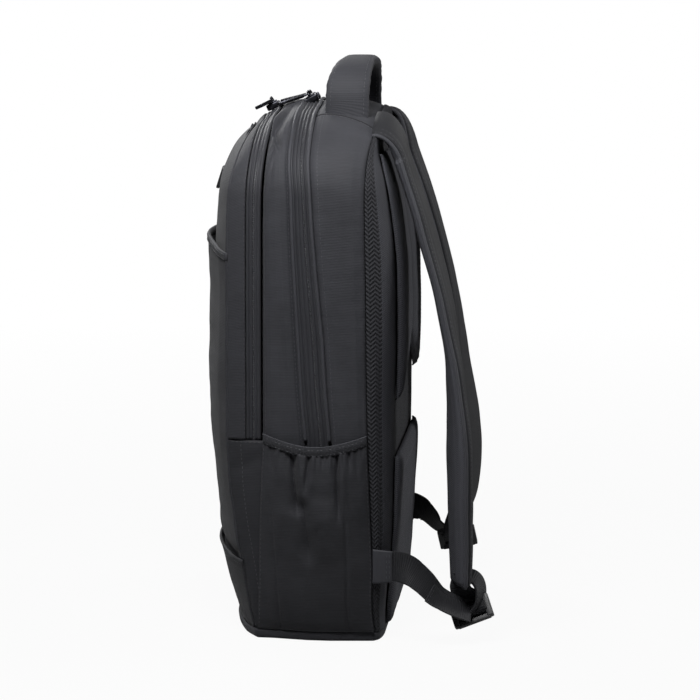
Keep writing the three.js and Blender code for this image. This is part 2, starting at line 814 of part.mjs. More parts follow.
// The cloth tab in the rear seam that holds the adjusting webbing
function wingPlace(side) {
  const y = stationPlace("rearSeam", wingCentreHeight) + layerClearance;
  const half = sideWidth(y, wingCentreHeight) + layerClearance + wingThickness / 2;
  return new THREE.Vector3(side * half, y, wingCentreHeight);
}

function wing(side) {
  const start = wingPlace(side);
  const wide = new THREE.Vector3(0, 0, 1);
  const thick = new THREE.Vector3(1, 0, 0);
  const shares = table("along width", [
    [0, 1.1],
    [0.5, 1],
    [1, 0.96],
  ]);
  return loft(
    shares.map((row) => {
      const centre = start.clone().add(new THREE.Vector3(0, row.along * wingLength, 0));
      return flatRing(centre, wide, thick, wingHeight * row.width, wingThickness);
    }),
  );
}

// Shape of the adjusting webbing between its tab and the ladder lock: sag as a share of its span
const webbingSag = table("along sag", [
  [0, 0],
  [0.1, 0.05],
  [0.25, 0.075],
  [0.42, 0.04],
  [0.6, -0.03],
  [0.8, -0.03],
  [1, 0],
]);

function webbingPath(name) {
  const { centre, side } = lockFrame(name);
  const start = wingPlace(side).add(new THREE.Vector3(0, wingLength + layerClearance, 0));
  const face = side * (lockThickness / 2 + clearance + webbingThickness / 2);
  const end = centre.clone().add(new THREE.Vector3(face, 0, 0));
  const span = start.distanceTo(end);
  const points = webbingSag.map((row) => {
    const point = new THREE.Vector3().lerpVectors(start, end, row.along);
    point.z += row.sag * span;
    return point;
  });
  return { curve: new THREE.CatmullRomCurve3(points), side, span };
}

function webbingRings(name, from, to, steps, layer, drop) {
  const { curve, side } = webbingPath(name);
  const rings = [];
  for (let step = 0; step <= steps; step += 1) {
    const share = THREE.MathUtils.lerp(from, to, step / steps);
    const along = curve.getTangent(share);
    const out = new THREE.Vector3(side, 0, 0).addScaledVector(along, -along.x * side).normalize();
    const wide = new THREE.Vector3().crossVectors(along, out).multiplyScalar(-side);
    wide.lerp(new THREE.Vector3(0, 0, 1), Math.max(0, 1 - share * 4)).normalize();
    const place = curve.getPoint(share).addScaledVector(out, layer).addScaledVector(wide, -drop);
    rings.push(flatRing(place, wide, out, webbingWidth, webbingThickness));
  }
  return rings;
}

const webbingSteps = 12;
function webbing(name) {
  return loft(webbingRings(name, 0, 1, webbingSteps, 0, 0));
}

function webbingTail(name) {
  const { span } = webbingPath(name);
  const steps = Math.round((webbingSteps * tailLength) / span);
  const from = 1 - steps / webbingSteps;
  return loft(webbingRings(name, from, 1, steps, webbingThickness + 2 * clearance, tailDrop));
}

// The small plain plate on the front
function frontTab() {
  const surface = frontGrid(0, lineHeights.length - 1 + shoulderSteps, 0);
  const middle = frontColumns.findIndex((share) => share > 0);
  const rows = surface.map((row) => ({ height: row[middle].z, place: row[middle].y }));
  const low = tabCentreHeight - tabHeight / 2;
  const high = tabCentreHeight + tabHeight / 2;
  const lowPlace = lookUp(rows, "height", low, "place");
  const highPlace = lookUp(rows, "height", high, "place");
  const corner = tabHeight * 0.12;
  const outline = new THREE.Shape();
  outline.absarc(tabWidth / 2 - corner, tabHeight / 2 - corner, corner, 0, Math.PI / 2);
  outline.absarc(-tabWidth / 2 + corner, tabHeight / 2 - corner, corner, Math.PI / 2, Math.PI);
  outline.absarc(-tabWidth / 2 + corner, -tabHeight / 2 + corner, corner, Math.PI, 1.5 * Math.PI);
  outline.absarc(tabWidth / 2 - corner, -tabHeight / 2 + corner, corner, 1.5 * Math.PI, 2 * Math.PI);
  const settings = { depth: tabThickness, bevelEnabled: false, curveSegments: 3 };
  const geometry = new THREE.ExtrudeGeometry(outline, settings);
  const across = new THREE.Vector3(1, 0, 0);
  const up = new THREE.Vector3(0, highPlace - lowPlace, high - low).normalize();
  up.applyAxisAngle(across, -tabTilt);
  const out = new THREE.Vector3().crossVectors(across, up);
  const seat = new THREE.Vector3(0, highPlace, high).addScaledVector(up, -tabHeight / 2);
  seat.addScaledVector(out, layerClearance);
  geometry.applyMatrix4(new THREE.Matrix4().makeBasis(across, up, out).setPosition(seat));
  return geometry;
}

// A slider: a low body along the zip with a bridge on its back
function sliderGeometry() {
  const half = sliderLength / 2;
  const bridge = bridgeLength / 2;
  const top = sliderHeight + bridgeHeight;
  const outline = new THREE.Shape();
  outline.moveTo(-half + 1, 0);
  outline.lineTo(half - 1, 0);
  outline.lineTo(half, sliderHeight / 2);
  outline.lineTo(half - 1, sliderHeight);
  outline.lineTo(bridge, sliderHeight);
  outline.lineTo(bridge - 1, top);
  outline.lineTo(-bridge + 1, top);
  outline.lineTo(-bridge, sliderHeight);
  outline.lineTo(-half + 1, sliderHeight);
  outline.lineTo(-half, sliderHeight / 2);
  outline.closePath();
  const eye = new THREE.Path();
  eye.moveTo(-bridge + 1.6, sliderHeight + 0.3);
  eye.lineTo(-bridge + 1.8, sliderHeight + 0.3 + bridgeHole);
  eye.lineTo(bridge - 1.8, sliderHeight + 0.3 + bridgeHole);
  eye.lineTo(bridge - 1.6, sliderHeight + 0.3);
  eye.closePath();
  outline.holes.push(eye);
  const geometry = new THREE.ExtrudeGeometry(outline, { depth: sliderWidth, bevelEnabled: false });
  geometry.translate(0, 0, -sliderWidth / 2);
  geometry.rotateX(Math.PI / 2);
  return geometry;
}

// A pull: a flat bar with an eye at its far end, along -Y from its own origin
function pullGeometry() {
  const half = pullWidth / 2;
  const outline = new THREE.Shape();
  outline.moveTo(-half * 0.7, 0);
  outline.lineTo(half * 0.7, 0);
  outline.lineTo(half, -pullLength * 0.3);
  outline.lineTo(half, -pullLength + half);
  outline.absarc(0, -pullLength + half, half, 0, -Math.PI, true);
  outline.closePath();
  const eye = new THREE.Path();
  eye.absarc(0, -pullLength + half * 1.1, half * 0.45, 0, 2 * Math.PI);
  outline.holes.push(eye);
  const settings = { depth: pullThickness, bevelEnabled: false, curveSegments: 6 };
  return new THREE.ExtrudeGeometry(outline, settings);
}

const group = new THREE.Group();
const finishes = {
  cloth: { color: 0x26262a, roughness: 0.8, metalness: 0 },
  mesh: { color: 0x161618, roughness: 0.9, metalness: 0 },
  tape: { color: 0x1c1c1f, roughness: 0.75, metalness: 0 },
  coil: { color: 0x3a3a3e, roughness: 0.45, metalness: 0 },
  metal: { color: 0x55565a, roughness: 0.35, metalness: 0.9 },
  plastic: { color: 0x18181a, roughness: 0.5, metalness: 0 },
};

function add(name, geometry, finish) {
  const mesh = new THREE.Mesh(geometry, new THREE.MeshStandardMaterial(finishes[finish]));
  mesh.name = name;
  group.add(mesh);
  return mesh;
}

// Front of the bag
const lastLine = shoulderLine + shoulderSteps;
const pouch = (up) => pocketPouch * up ** 1.5;
const trim = (grid, first, last) => {
  grid[0].forEach((point) => {
    point.z += first;
  });
  grid[grid.length - 1].forEach((point) => {
    point.z += last;
  });
  return grid;
};
function frontLayer(fromLine, toLine, pouchAt) {
  const firstGap = fromLine > 0 ? clearance / 2 : 0;
  const layer = (offset) => trim(frontGrid(fromLine, toLine, offset, pouchAt), firstGap, -clearance / 2);
  return wall(layer(layerClearance + clothThickness), layer(layerClearance));
}
function pocketHem() {
  const at = (offset) => {
    const lip = frontGrid(lipLine, lipLine, offset, () => pocketPouch)[0];
    const raise = (height) =>
      lip.map((point) => new THREE.Vector3(point.x, point.y, point.z + height));
    return [raise(clearance / 2), raise(hemHeight)];
  };
  return wall(at(layerClearance + clothThickness + hemFold), at(layerClearance));
}
add("front_panel", wall(frontGrid(0, lastLine, 0), frontGrid(0, lastLine, -clothThickness)), "cloth");
add("front_overlay", frontLayer(0, overlayLine), "cloth");
add("front_pocket", frontLayer(overlayLine, lipLine, pouch), "cloth");
add("front_pocket_hem", pocketHem(), "cloth");
add("front_tab", frontTab(), "plastic");

// Side and top of the bag
const crumples = table("place depth", [
  [0.3, 0.79],
  [0.64, 0.57],
  [0.7, 1],
]);
const crumpleShare = 0.32;
const crumpleWidth = 0.14;
const crumpleLength = 0.025;
const crumple = (share, along) => {
  let dent = 0;
  const across = Math.exp(-(((share - crumpleShare) / crumpleWidth) ** 2));
  for (const { place, depth } of crumples) {
    dent -= crumpleDepth * depth * across * Math.exp(-(((along - place) / crumpleLength) ** 2));
  }
  return dent;
};
const scaled = (rows, size) => rows.map(([share, rise]) => [share, rise * size]);
const frontCoilShare = 0.42;
const mainTapeDip = -0.8;
add("front_gusset", band("frontSeam", "frontZip", [[0, 0], [0.5, frontGussetBulge], [1, 0]]), "cloth");
const frontTape = [[0, 0], [0.2, 0], [0.42, 0], [0.64, 0], [1, 0]];
add("front_zip_band", band("frontZip", "frontZipRear", frontTape), "tape");
add("front_zip_coil", coil("frontZip", "frontZipRear", frontZipWidth, frontCoilShare, 0), "coil");
const middleRows = [[0, 0], [0.14, -1.86], [0.3, 0.29], [0.55, 1], [0.8, 0.57], [1, 0]];
const middleBulge = scaled(middleRows, middleGussetBulge);
const mainTape = [[0, 0], [0.2, mainTapeDip], [0.5, mainTapeDip], [0.8, mainTapeDip], [1, 0]];
add("middle_gusset", band("frontZipRear", "mainZip", middleBulge, crumple), "cloth");
add("main_zip_band", band("mainZip", "mainZipRear", mainTape), "tape");
add("main_zip_coil", coil("mainZip", "mainZipRear", mainZipWidth, 0.5, mainTapeDip), "coil");
add("main_piping_front", piping("mainZip"), "cloth");
add("main_piping_rear", piping("mainZipRear"), "cloth");
const rearBulge = scaled([[0, 0], [0.15, 0.42], [0.5, 1], [0.85, 0.42], [1, 0]], rearGussetBulge);
const rearGusset = add("rear_gusset", band("mainZipRear", "rearSeam", rearBulge), "cloth");
add("base_panel", basePanel(), "cloth");

// Back of the bag
add("back_panel", wall(backGrid(0, 0), backGrid(backThickness, backRim)), "mesh");
const lumbarPad = backPad(-padOuterShare, padOuterShare, lumbarFoot, lumbarFoot, lumbarTop);
add("lumbar_pad", lumbarPad, "mesh");
add("handle", handle(rearGusset), "cloth");

// What the bag has on both sides
for (const [name, side] of [["right", 1], ["left", -1]]) {
  add(`lower_side_${name}`, lowerSide(side), "cloth");
  add(`side_pocket_${name}`, sidePocket(side), "cloth");
  add(`pocket_binding_${name}`, pocketBinding(side), "cloth");
  const [inner, outer] = [side * padInnerShare, side * padOuterShare];
  add(`back_pad_${name}`, backPad(inner, outer, padInnerFoot, padOuterFoot, padTop), "mesh");
  add(`strap_${name}`, strap(name), "mesh");
  add(`strap_stub_${name}`, strapStub(name), "tape");
  add(`ladder_lock_${name}`, ladderLock(name), "plastic");
  add(`wing_${name}`, wing(side), "cloth");
  add(`webbing_${name}`, webbing(name), "tape");
  add(`webbing_tail_${name}`, webbingTail(name), "tape");
}

// Zip sliders and pulls on the top
function zipPlace(front, rear, share) {
  const [start, end] = [front, rear].map((name) => {
    const top = bodyHeight * stations[name].top;
    return new THREE.Vector3(0, stationPlace(name, top - crownHeight), top);
  });
  const slope = Math.atan2(end.z - start.z, end.y - start.y);
  return { place: start.lerp(end, share), slope };
}
function zipFittings(suffix, { place, slope }, lift, x, splay) {
  const fitting = new THREE.Group();
  const out = new THREE.Vector3(0, -Math.sin(slope), Math.cos(slope));
  fitting.position.copy(place).addScaledVector(out, lift + layerClearance);
  fitting.position.x = x;
  fitting.rotation.x = slope;
  fitting.add(add(`slider_${suffix}`, sliderGeometry(), "metal"));
  const pull = add(`pull_${suffix}`, pullGeometry(), "metal");
  pull.position.set(0, -sliderWidth / 2 - pullGap, sliderHeight);
  pull.rotation.set(pullDroop, 0, splay);
  fitting.add(pull);
  group.add(fitting);
}
const frontPlace = zipPlace("frontZip", "frontZipRear", frontCoilShare);
zipFittings("front", frontPlace, coilHeight + clearance, 0, 0);
const mainPlace = zipPlace("mainZip", "mainZipRear", 0.5);
const mainLift = mainTapeDip + layerClearance + coilHeight;
for (const [name, side] of [["right", 1], ["left", -1]]) {
  zipFittings(`main_${name}`, mainPlace, mainLift, (side * sliderSpread) / 2, side * pullSplay);
}

export default group;
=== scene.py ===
import bmesh
import bpy
import math
import numpy as np
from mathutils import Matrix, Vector


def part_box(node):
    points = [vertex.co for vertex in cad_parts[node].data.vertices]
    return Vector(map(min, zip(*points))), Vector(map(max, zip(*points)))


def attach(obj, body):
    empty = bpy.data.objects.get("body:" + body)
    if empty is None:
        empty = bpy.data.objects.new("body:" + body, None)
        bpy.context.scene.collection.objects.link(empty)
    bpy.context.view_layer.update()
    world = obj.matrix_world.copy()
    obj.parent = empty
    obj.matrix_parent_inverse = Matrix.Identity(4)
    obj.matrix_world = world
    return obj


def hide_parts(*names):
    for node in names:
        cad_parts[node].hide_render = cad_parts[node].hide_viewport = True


# Laptop backpack standing on its base. Lengths are in millimetres until a mesh is made.

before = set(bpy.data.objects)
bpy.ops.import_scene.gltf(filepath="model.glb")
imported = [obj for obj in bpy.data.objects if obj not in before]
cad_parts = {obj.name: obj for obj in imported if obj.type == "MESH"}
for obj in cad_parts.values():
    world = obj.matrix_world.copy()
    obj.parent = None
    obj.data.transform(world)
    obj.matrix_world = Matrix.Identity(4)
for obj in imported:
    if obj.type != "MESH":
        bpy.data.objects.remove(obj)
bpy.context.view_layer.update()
MM = 0.001

# Body
BODY_HEIGHT = 446
BODY_WIDTH = 296
BODY_DEPTH = 124
SHOULDER = 0.834 * BODY_HEIGHT
CORNER = 112
CROWN = 5
POCKET_SEAM = 0.377 * BODY_HEIGHT
OVERLAY_EDGE = 0.135 * BODY_HEIGHT
POCKET_LIP = 0.711 * BODY_HEIGHT
BASE_THICKNESS = 8
FRONT_DOME = 30
BACK_DOME = 22
BACK_FLAT = 0.8
GAP = 0.4
LAYER_GAP = 0.6
CLOTH = 1.8
POUCH = 5.5
FRONT_ZIP = 13
MAIN_ZIP = 20

SECTION_COLUMNS = (
    "height width frontSeam frontZip pocketFront mainZip rearSeam rise frontDome backDome"
).split()
SECTION_ROWS = [
    [0.018, 0.945, -0.452, -0.44, -0.43, -0.09, 0.375, 0, 0.7, 0.27],
    [0.045, 0.965, -0.472, -0.455, -0.42, -0.09, 0.355, 0.009, 0.82, 0.37],
    [0.09, 0.98, -0.5, -0.475, -0.415, -0.09, 0.351, 0.022, 0.95, 0.48],
    [0.135, 0.986, -0.524, -0.49, -0.41, -0.09, 0.357, 0.038, 1, 0.535],
    [0.213, 0.992, -0.577, -0.5, -0.405, -0.09, 0.347, 0.038, 0.883, 0.7],
    [0.291, 0.997, -0.613, -0.5, -0.395, -0.09, 0.335, 0.038, 0.833, 0.8],
    [0.377, 1, -0.629, -0.5, -0.38, -0.09, 0.323, 0.034, 0.85, 0.89],
    [0.46, 1, -0.629, -0.5, -0.375, -0.119, 0.316, 0.034, 0.85, 0.93],
    [0.545, 1, -0.629, -0.5, -0.375, -0.137, 0.312, 0.03, 0.79, 1],
    [0.628, 1, -0.629, -0.5, -0.375, -0.155, 0.31, 0.03, 0.725, 1],
    [0.711, 0.998, -0.629, -0.5, -0.375, -0.172, 0.305, 0.029, 0.717, 1],
    [0.771, 0.995, -0.627, -0.5, -0.375, -0.182, 0.301, 0.018, 0.68, 0.885],
    [0.834, 0.985, -0.621, -0.498, -0.375, -0.188, 0.298, 0.007, 0.64, 0.72],
    [0.897, 0.975, -0.581, -0.49, -0.375, -0.21, 0.306, 0, 0.53, 0.45],
    [0.951, 0.965, -0.536, -0.48, -0.375, -0.208, 0.341, 0, 0, 0.2],
    [1, 0.96, -0.536, -0.468, -0.375, -0.206, 0.351, 0, 0, 0],
]
# Width and top height of each seam's outline, as shares of the body's
STATIONS = {
    "frontSeam": (0.905, 0.951),
    "frontZip": (0.932, 0.971),
    "frontZipRear": (0.939, 0.993),
    "mainZip": (0.986, 1),
    "mainZipRear": (0.993, 1),
    "rearSeam": (0.986, 0.987),
}
SHOULDER_DOMES = {
    "turn": [0, 1 / 6, 2 / 6, 3 / 6, 4 / 6, 5 / 6, 1],
    "front": [0.633, 0.61, 0.53, 0.42, 0.22, 0.05, 0],
    "back": [0.72, 0.525, 0.3, 0.22, 0.2, 0.13, 0],
}
ZIP_TAPER = ([0.56, 0.75, 0.82, 1], [1, 0.84, 0.78, 0.78])


# Curves and sections

def smoothed(values, window):
    kernel = np.hanning(window + 2)[1:-1]
    kernel /= kernel.sum()
    padded = np.pad(values, window // 2, mode="reflect", reflect_type="odd")
    return np.convolve(padded, kernel, mode="valid")


HEIGHTS = np.arange(-20.0, BODY_HEIGHT + 21)
SECTION_HEIGHTS = [row[0] for row in SECTION_ROWS]
SECTION = {
    name: smoothed(np.interp(HEIGHTS / BODY_HEIGHT, SECTION_HEIGHTS, [row[k] for row in SECTION_ROWS]), 31)
    for k, name in enumerate(SECTION_COLUMNS)
    if k
}


def section(name, z):
    return np.interp(z, HEIGHTS, SECTION[name])


def place(name, z):
    if name == "frontZipRear":
        return BODY_DEPTH * section("frontZip", z) + FRONT_ZIP
    if name == "mainZipRear":
        taper = np.interp(np.asarray(z) / BODY_HEIGHT, *ZIP_TAPER)
        return BODY_DEPTH * section("mainZip", z) + MAIN_ZIP * taper
    return BODY_DEPTH * section(name, z)


def side_half(y, z):
    names = list(STATIONS)
    ys = np.array([place(n, z) for n in names])
    xs = np.array([BODY_WIDTH / 2 * STATIONS[n][0] * section("width", z) for n in names])
    out = np.empty(np.shape(y))
    for index in np.ndindex(out.shape):
        out[index] = np.interp(y[index], ys[(slice(None), *index)], xs[(slice(None), *index)])
    return out


def resampled(points, count):
    steps = np.linalg.norm(np.diff(points, axis=0), axis=1)
    run = np.concatenate([[0], np.cumsum(steps)])
    wanted = np.linspace(0, run[-1], count)
    return np.stack([np.interp(wanted, run, points[:, k]) for k in range(points.shape[1])], axis=1)


def arch(name, count=361, foot=POCKET_SEAM + 0.3):
    width, top_share = STATIONS[name]
    half = BODY_WIDTH / 2 * width
    top = BODY_HEIGHT * top_share - CROWN
    z_side = np.linspace(foot, SHOULDER, 90)
    angle = np.linspace(0, math.pi / 2, 60)[1:]
    z_turn = SHOULDER + (top - SHOULDER) * np.sin(angle)
    x_turn = (half - CORNER * (1 - np.cos(angle))) * section("width", z_turn)
    x_top = np.linspace(x_turn[-1], 0, 20)[1:-1]
    z_top = top + CROWN * (1 - (x_top / x_turn[-1]) ** 2)
    x = np.concatenate([half * section("width", z_side), x_turn, x_top])
    z = np.concatenate([z_side, z_turn, z_top])
    line = np.stack([np.concatenate([x, -x[::-1]]), np.concatenate([z, z[::-1]])], axis=1)
    line = resampled(line, count)
    line = np.stack([smoothed(line[:, 0], 15), smoothed(line[:, 1], 15)], axis=1)
    return np.stack([line[:, 0], place(name, np.minimum(line[:, 1], top)), line[:, 1]], axis=1)


def noise(points, scale, seed=0):
    """Smooth noise from -1 to 1, with features of the size scale."""
    p = np.asarray(points, float) / np.asarray(scale, float) + seed * 17.31
    cell = np.floor(p).astype(np.int64)
    f = p - cell
    fade = f * f * f * (f * (f * 6 - 15) + 10)
    total = 0
    for dx in (0, 1):
        for dy in (0, 1):
            for dz in (0, 1):
                h = (
                    (cell[..., 0] + dx) * 374761393
                    + (cell[..., 1] + dy) * 668265263
                    + (cell[..., 2] + dz) * 974634777
                )
                h = (h ^ (h >> 13)) * 1274126177 & 0xFFFFFFFF
                h ^= h >> 15
                slope = np.stack([(h >> k & 255) / 127.5 - 1 for k in (0, 8, 16)], axis=-1)
                dot = (slope * (f - [dx, dy, dz])).sum(-1)
                weight = np.ones(dot.shape)
                for k, d in enumerate((dx, dy, dz)):
                    weight = weight * (fade[..., k] if d else 1 - fade[..., k])
                total = total + dot * weight
    return total * 1.5


def bell(value, centre, width):
    return np.exp(-(((value - centre) / width) ** 2))


def step_up(value, low, high):
    share = np.clip((value - low) / (high - low), 0, 1)
    return share * share * (3 - 2 * share)


def unit(vectors):
    return vectors / np.maximum(np.linalg.norm(vectors, axis=-1, keepdims=True), 1e-9)


def grid_normals(points, outward_from):
    across = np.gradient(points, axis=0)
    along = np.gradient(points, axis=1)
    normals = unit(np.cross(across, along))
    if (normals * (points - outward_from)).sum() < 0:
        normals = -normals
    return normals


BODY_MIDDLE = np.array([0, -10, 200.0])


# Meshes

def make_mesh(name, points, faces, material, uv=None):
    mesh = bpy.data.meshes.new(name)
    mesh.from_pydata((np.asarray(points) * MM).tolist(), [], faces)
    if uv is not None:
        layer = mesh.uv_layers.new(name="cloth")
        corners = np.empty(len(mesh.loops), np.int32)
        mesh.loops.foreach_get("vertex_index", corners)
        layer.data.foreach_set("uv", np.asarray(uv, np.float32)[corners].ravel())
    mesh.polygons.foreach_set("use_smooth", np.ones(len(mesh.polygons), bool))
    mesh.materials.append(material)
    mesh.update()
    piece = bpy.data.objects.new(name, mesh)
    bpy.context.scene.collection.objects.link(piece)
    return piece


def settle(piece, slot, *nodes):
    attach(piece, "root")
    if nodes:
        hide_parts(*nodes)
    return piece


def grid_faces(rows, columns, start=0, closed=False):
    faces = []
    last = columns if closed else columns - 1
    for r in range(rows - 1):
        for c in range(last):
            d = (c + 1) % columns
            a = start + r * columns
            faces.append((a + c, a + d, a + columns + d, a + columns + c))
    return faces


def edge_roll(distance, radius):
    """How far cloth turns down towards a seam, at a distance from it."""
    left = np.clip(radius - distance, 0, radius)
    return radius - np.sqrt(np.maximum(radius * radius - left * left, 0))


def run_length(path):
    """Length from the first point of a path to each of its points."""
    return np.concatenate([[0], np.cumsum(np.linalg.norm(np.diff(path, axis=0), axis=1))])


def cloth_piece(
    name, points, material, uv, thickness=CLOTH, outward_from=BODY_MIDDLE
):
    """A sheet with an outer and an inner face, joined round its edges."""
    rows, columns = points.shape[:2]
    normals = grid_normals(points, outward_from)
    inner = points - normals * thickness
    verts = np.concatenate([points.reshape(-1, 3), inner.reshape(-1, 3)])
    outer_faces = grid_faces(rows, columns)
    far = rows * columns
    first = outer_faces[0]
    n = np.cross(verts[first[1]] - verts[first[0]], verts[first[3]] - verts[first[0]])
    turned = (n * normals[0, 0]).sum() < 0
    if turned:
        outer_faces = [f[::-1] for f in outer_faces]
    faces = outer_faces + [tuple(far + v for v in f[::-1]) for f in outer_faces]
    rim = [(0, c) for c in range(columns - 1)]
    rim += [(r, columns - 1) for r in range(rows - 1)]
    rim += [(rows - 1, c) for c in range(columns - 1, 0, -1)]
    rim += [(r, 0) for r in range(rows - 1, 0, -1)]
    ring = [r * columns + c for r, c in rim]
    for a, b in zip(ring, ring[1:] + ring[:1]):
        side = (b, a, far + a, far + b)
        faces.append(side[::-1] if turned else side)
    uv = np.concatenate([uv.reshape(-1, 2)] * 2)
    piece = make_mesh(name, verts, faces, material, uv)
    return piece


def grid_uv(points):
    """Lengths across and along the middle of a grid, in millimetres."""
    rows, columns = points.shape[:2]
    across = run_length(points[:, columns // 2])
    along = run_length(points[rows // 2])
    return np.stack(np.meshgrid(across, along, indexing="ij"), axis=-1)


def lofted(name, rings, material, uv=None, caps=True):
    rings = np.asarray(rings)
    count, around = rings.shape[:2]
    verts = rings.reshape(-1, 3)
    faces = grid_faces(count, around, closed=True)
    if caps:
        verts = np.concatenate([verts, rings[[0, -1]].mean(axis=1)])
        first, last = count * around, count * around + 1
        base = (count - 1) * around
        for k in range(around):
            n = (k + 1) % around
            faces.append((first, n, k))
            faces.append((last, base + k, base + n))
    if uv is not None:
        uv = np.concatenate([uv.reshape(-1, 2), uv[[0, -1]].mean(axis=1)]) if caps else uv.reshape(-1, 2)
    piece = make_mesh(name, verts, faces, material, uv)
    fix = bmesh.new()
    fix.from_mesh(piece.data)
    bmesh.ops.recalc_face_normals(fix, faces=fix.faces)
    fix.to_mesh(piece.data)
    fix.free()
    return piece


def frames_along(path, normal):
    """Tangent, normal and side direction at each point of a path."""
    along = unit(np.gradient(path, axis=0))
    normal = np.broadcast_to(normal, path.shape)
    normal = unit(normal - along * (along * normal).sum(-1, keepdims=True))
    return along, normal, np.cross(along, normal)


def tube(name, path, normal, wide, tall, material, around=10):
    _, up, side = frames_along(path, normal)
    angles = np.linspace(0, 2 * math.pi, around, endpoint=False)
    rings = (
        path[:, None]
        + side[:, None] * (np.cos(angles) * wide / 2)[None, :, None]
        + up[:, None] * (np.sin(angles) * tall / 2)[None, :, None]
    )
    run = run_length(path)
    uv = np.stack(np.meshgrid(run, angles * wide / 2, indexing="ij")[::-1], axis=-1)
    return lofted(name, rings, material, uv)


def bead(length, wide, tall, around=6):
    """Points and faces of a small rounded bead, long along its first axis."""
    angles = np.linspace(0, 2 * math.pi, around, endpoint=False)
    points = [(-length / 2, 0, 0)]
    for x, size in ((-0.36, 0.75), (0, 1), (0.36, 0.75)):
        for a in angles:
            points.append((x * length, math.cos(a) * wide / 2 * size, math.sin(a) * tall / 2 * size))
    points.append((length / 2, 0, 0))
    faces = [(0, 1 + (k + 1) % around, 1 + k) for k in range(around)]
    for ring in range(2):
        for k in range(around):
            a = 1 + ring * around
            n = (k + 1) % around
            faces.append((a + k, a + n, a + around + n, a + around + k))
    end = 1 + 3 * around
    faces += [(end, end - around + k, end - around + (k + 1) % around) for k in range(around)]
    return np.array(points), faces


def scatter(name, centres, axes, shape, material):
    """One mesh of a small shape repeated at many places."""
    points, faces = shape
    along, side, up = axes
    verts = (
        centres[:, None]
        + along[:, None] * points[None, :, :1]
        + side[:, None] * points[None, :, 1:2]
        + up[:, None] * points[None, :, 2:]
    )
    count = len(points)
    all_faces = [tuple(v + k * count for v in f) for k in range(len(centres)) for f in faces]
    return make_mesh(name, verts.reshape(-1, 3), all_faces, material)


STITCH = 2.7
STITCH_GAP = 1.0


def stitch_spots(path, normal):
    length = np.linalg.norm(np.diff(path, axis=0), axis=1).sum()
    count = max(2, int(length / (STITCH + STITCH_GAP)))
    dense = resampled(np.concatenate([path, np.broadcast_to(normal, path.shape)], axis=1), count + 1)
    middle = (dense[1:] + dense[:-1]) / 2
    along = unit(dense[1:, :3] - dense[:-1, :3])
    up = unit(middle[:, 3:] - along * (along * middle[:, 3:]).sum(-1, keepdims=True))
    return middle[:, :3], along, np.cross(up, along), up


def stitching(name, lines, material, wide=0.62, tall=0.5, sink=0.12):
    """Rows of stitches along lines that are pairs of a path and its normals."""
    spots = [stitch_spots(path, normal) for path, normal in lines]
    centres, along, side, up = (np.concatenate([s[k] for s in spots]) for k in range(4))
    return scatter(name, centres - up * sink, (along, side, up), bead(STITCH, wide, tall), material)


def row_at(points, normals, share):
    """A path and its normals across a grid, at a share of its rows."""
    at = share * (points.shape[0] - 1)
    low = min(int(at), points.shape[0] - 2)
    mix = at - low
    point = points[low] * (1 - mix) + points[low + 1] * mix
    return point, unit(normals[low] * (1 - mix) + normals[low + 1] * mix)


def column_at(points, normals, share):
    return row_at(points.transpose(1, 0, 2), normals.transpose(1, 0, 2), share)


# Shader groups

def shader_group(name, inputs, outputs):
    group = bpy.data.node_groups.new(name, "ShaderNodeTree")
    for label, kind, value in inputs:
        socket = group.interface.new_socket(label, in_out="INPUT", socket_type=kind)
        if value is not None:
            socket.default_value = value
    for label, kind in outputs:
        group.interface.new_socket(label, in_out="OUTPUT", socket_type=kind)
    start = group.nodes.new("NodeGroupInput")
    end = group.nodes.new("NodeGroupOutput")
    return group, start, end


class Wiring:
    """Adds nodes to a tree and links their sockets."""

    def __init__(self, tree):
        self.tree = tree

    def node(self, kind, **settings):
        made = self.tree.nodes.new(kind)
        for key, value in settings.items():
            setattr(made, key, value)
        return made

    def feed(self, socket, value):
        if isinstance(value, bpy.types.NodeSocket):
            self.tree.links.new(value, socket)
        else:
            socket.default_value = value

    def math(self, operation, *values):
        made = self.node("ShaderNodeMath", operation=operation)
        for socket, value in zip(made.inputs, values):
            self.feed(socket, value)
        return made.outputs[0]

    def scaled(self, vector, factors):
        made = self.node("ShaderNodeVectorMath", operation="MULTIPLY")
        self.feed(made.inputs[0], vector)
        self.feed(made.inputs[1], factors)
        return made.outputs[0]

    def noise(self, vector, scale, detail=2.0, rough=0.5):
        made = self.node("ShaderNodeTexNoise")
        self.feed(made.inputs["Vector"], vector)
        made.inputs["Scale"].default_value = scale
        made.inputs["Detail"].default_value = detail
        made.inputs["Roughness"].default_value = rough
        return made.outputs["Fac"]

    def mixed(self, factor, first, second, blend="MIX"):
        made = self.node("ShaderNodeMix", data_type="RGBA", blend_type=blend)
        self.feed(made.inputs[0], factor)
        self.feed(made.inputs[6], first)
        self.feed(made.inputs[7], second)
        return made.outputs[2]

    def ranged(self, value, low, high, to_low, to_high):
        made = self.node("ShaderNodeMapRange")
        for socket, v in zip(made.inputs, (value, low, high, to_low, to_high)):
            self.feed(socket, v)
        return made.outputs[0]

    def bump(self, height, strength, distance, normal=None):
        made = self.node("ShaderNodeBump")
        self.feed(made.inputs["Strength"], strength)
        self.feed(made.inputs["Distance"], distance)
        self.feed(made.inputs["Height"], height)
        if normal is not None:
            self.feed(made.inputs["Normal"], normal)
        return made.outputs[0]


TURN = 2 * math.pi


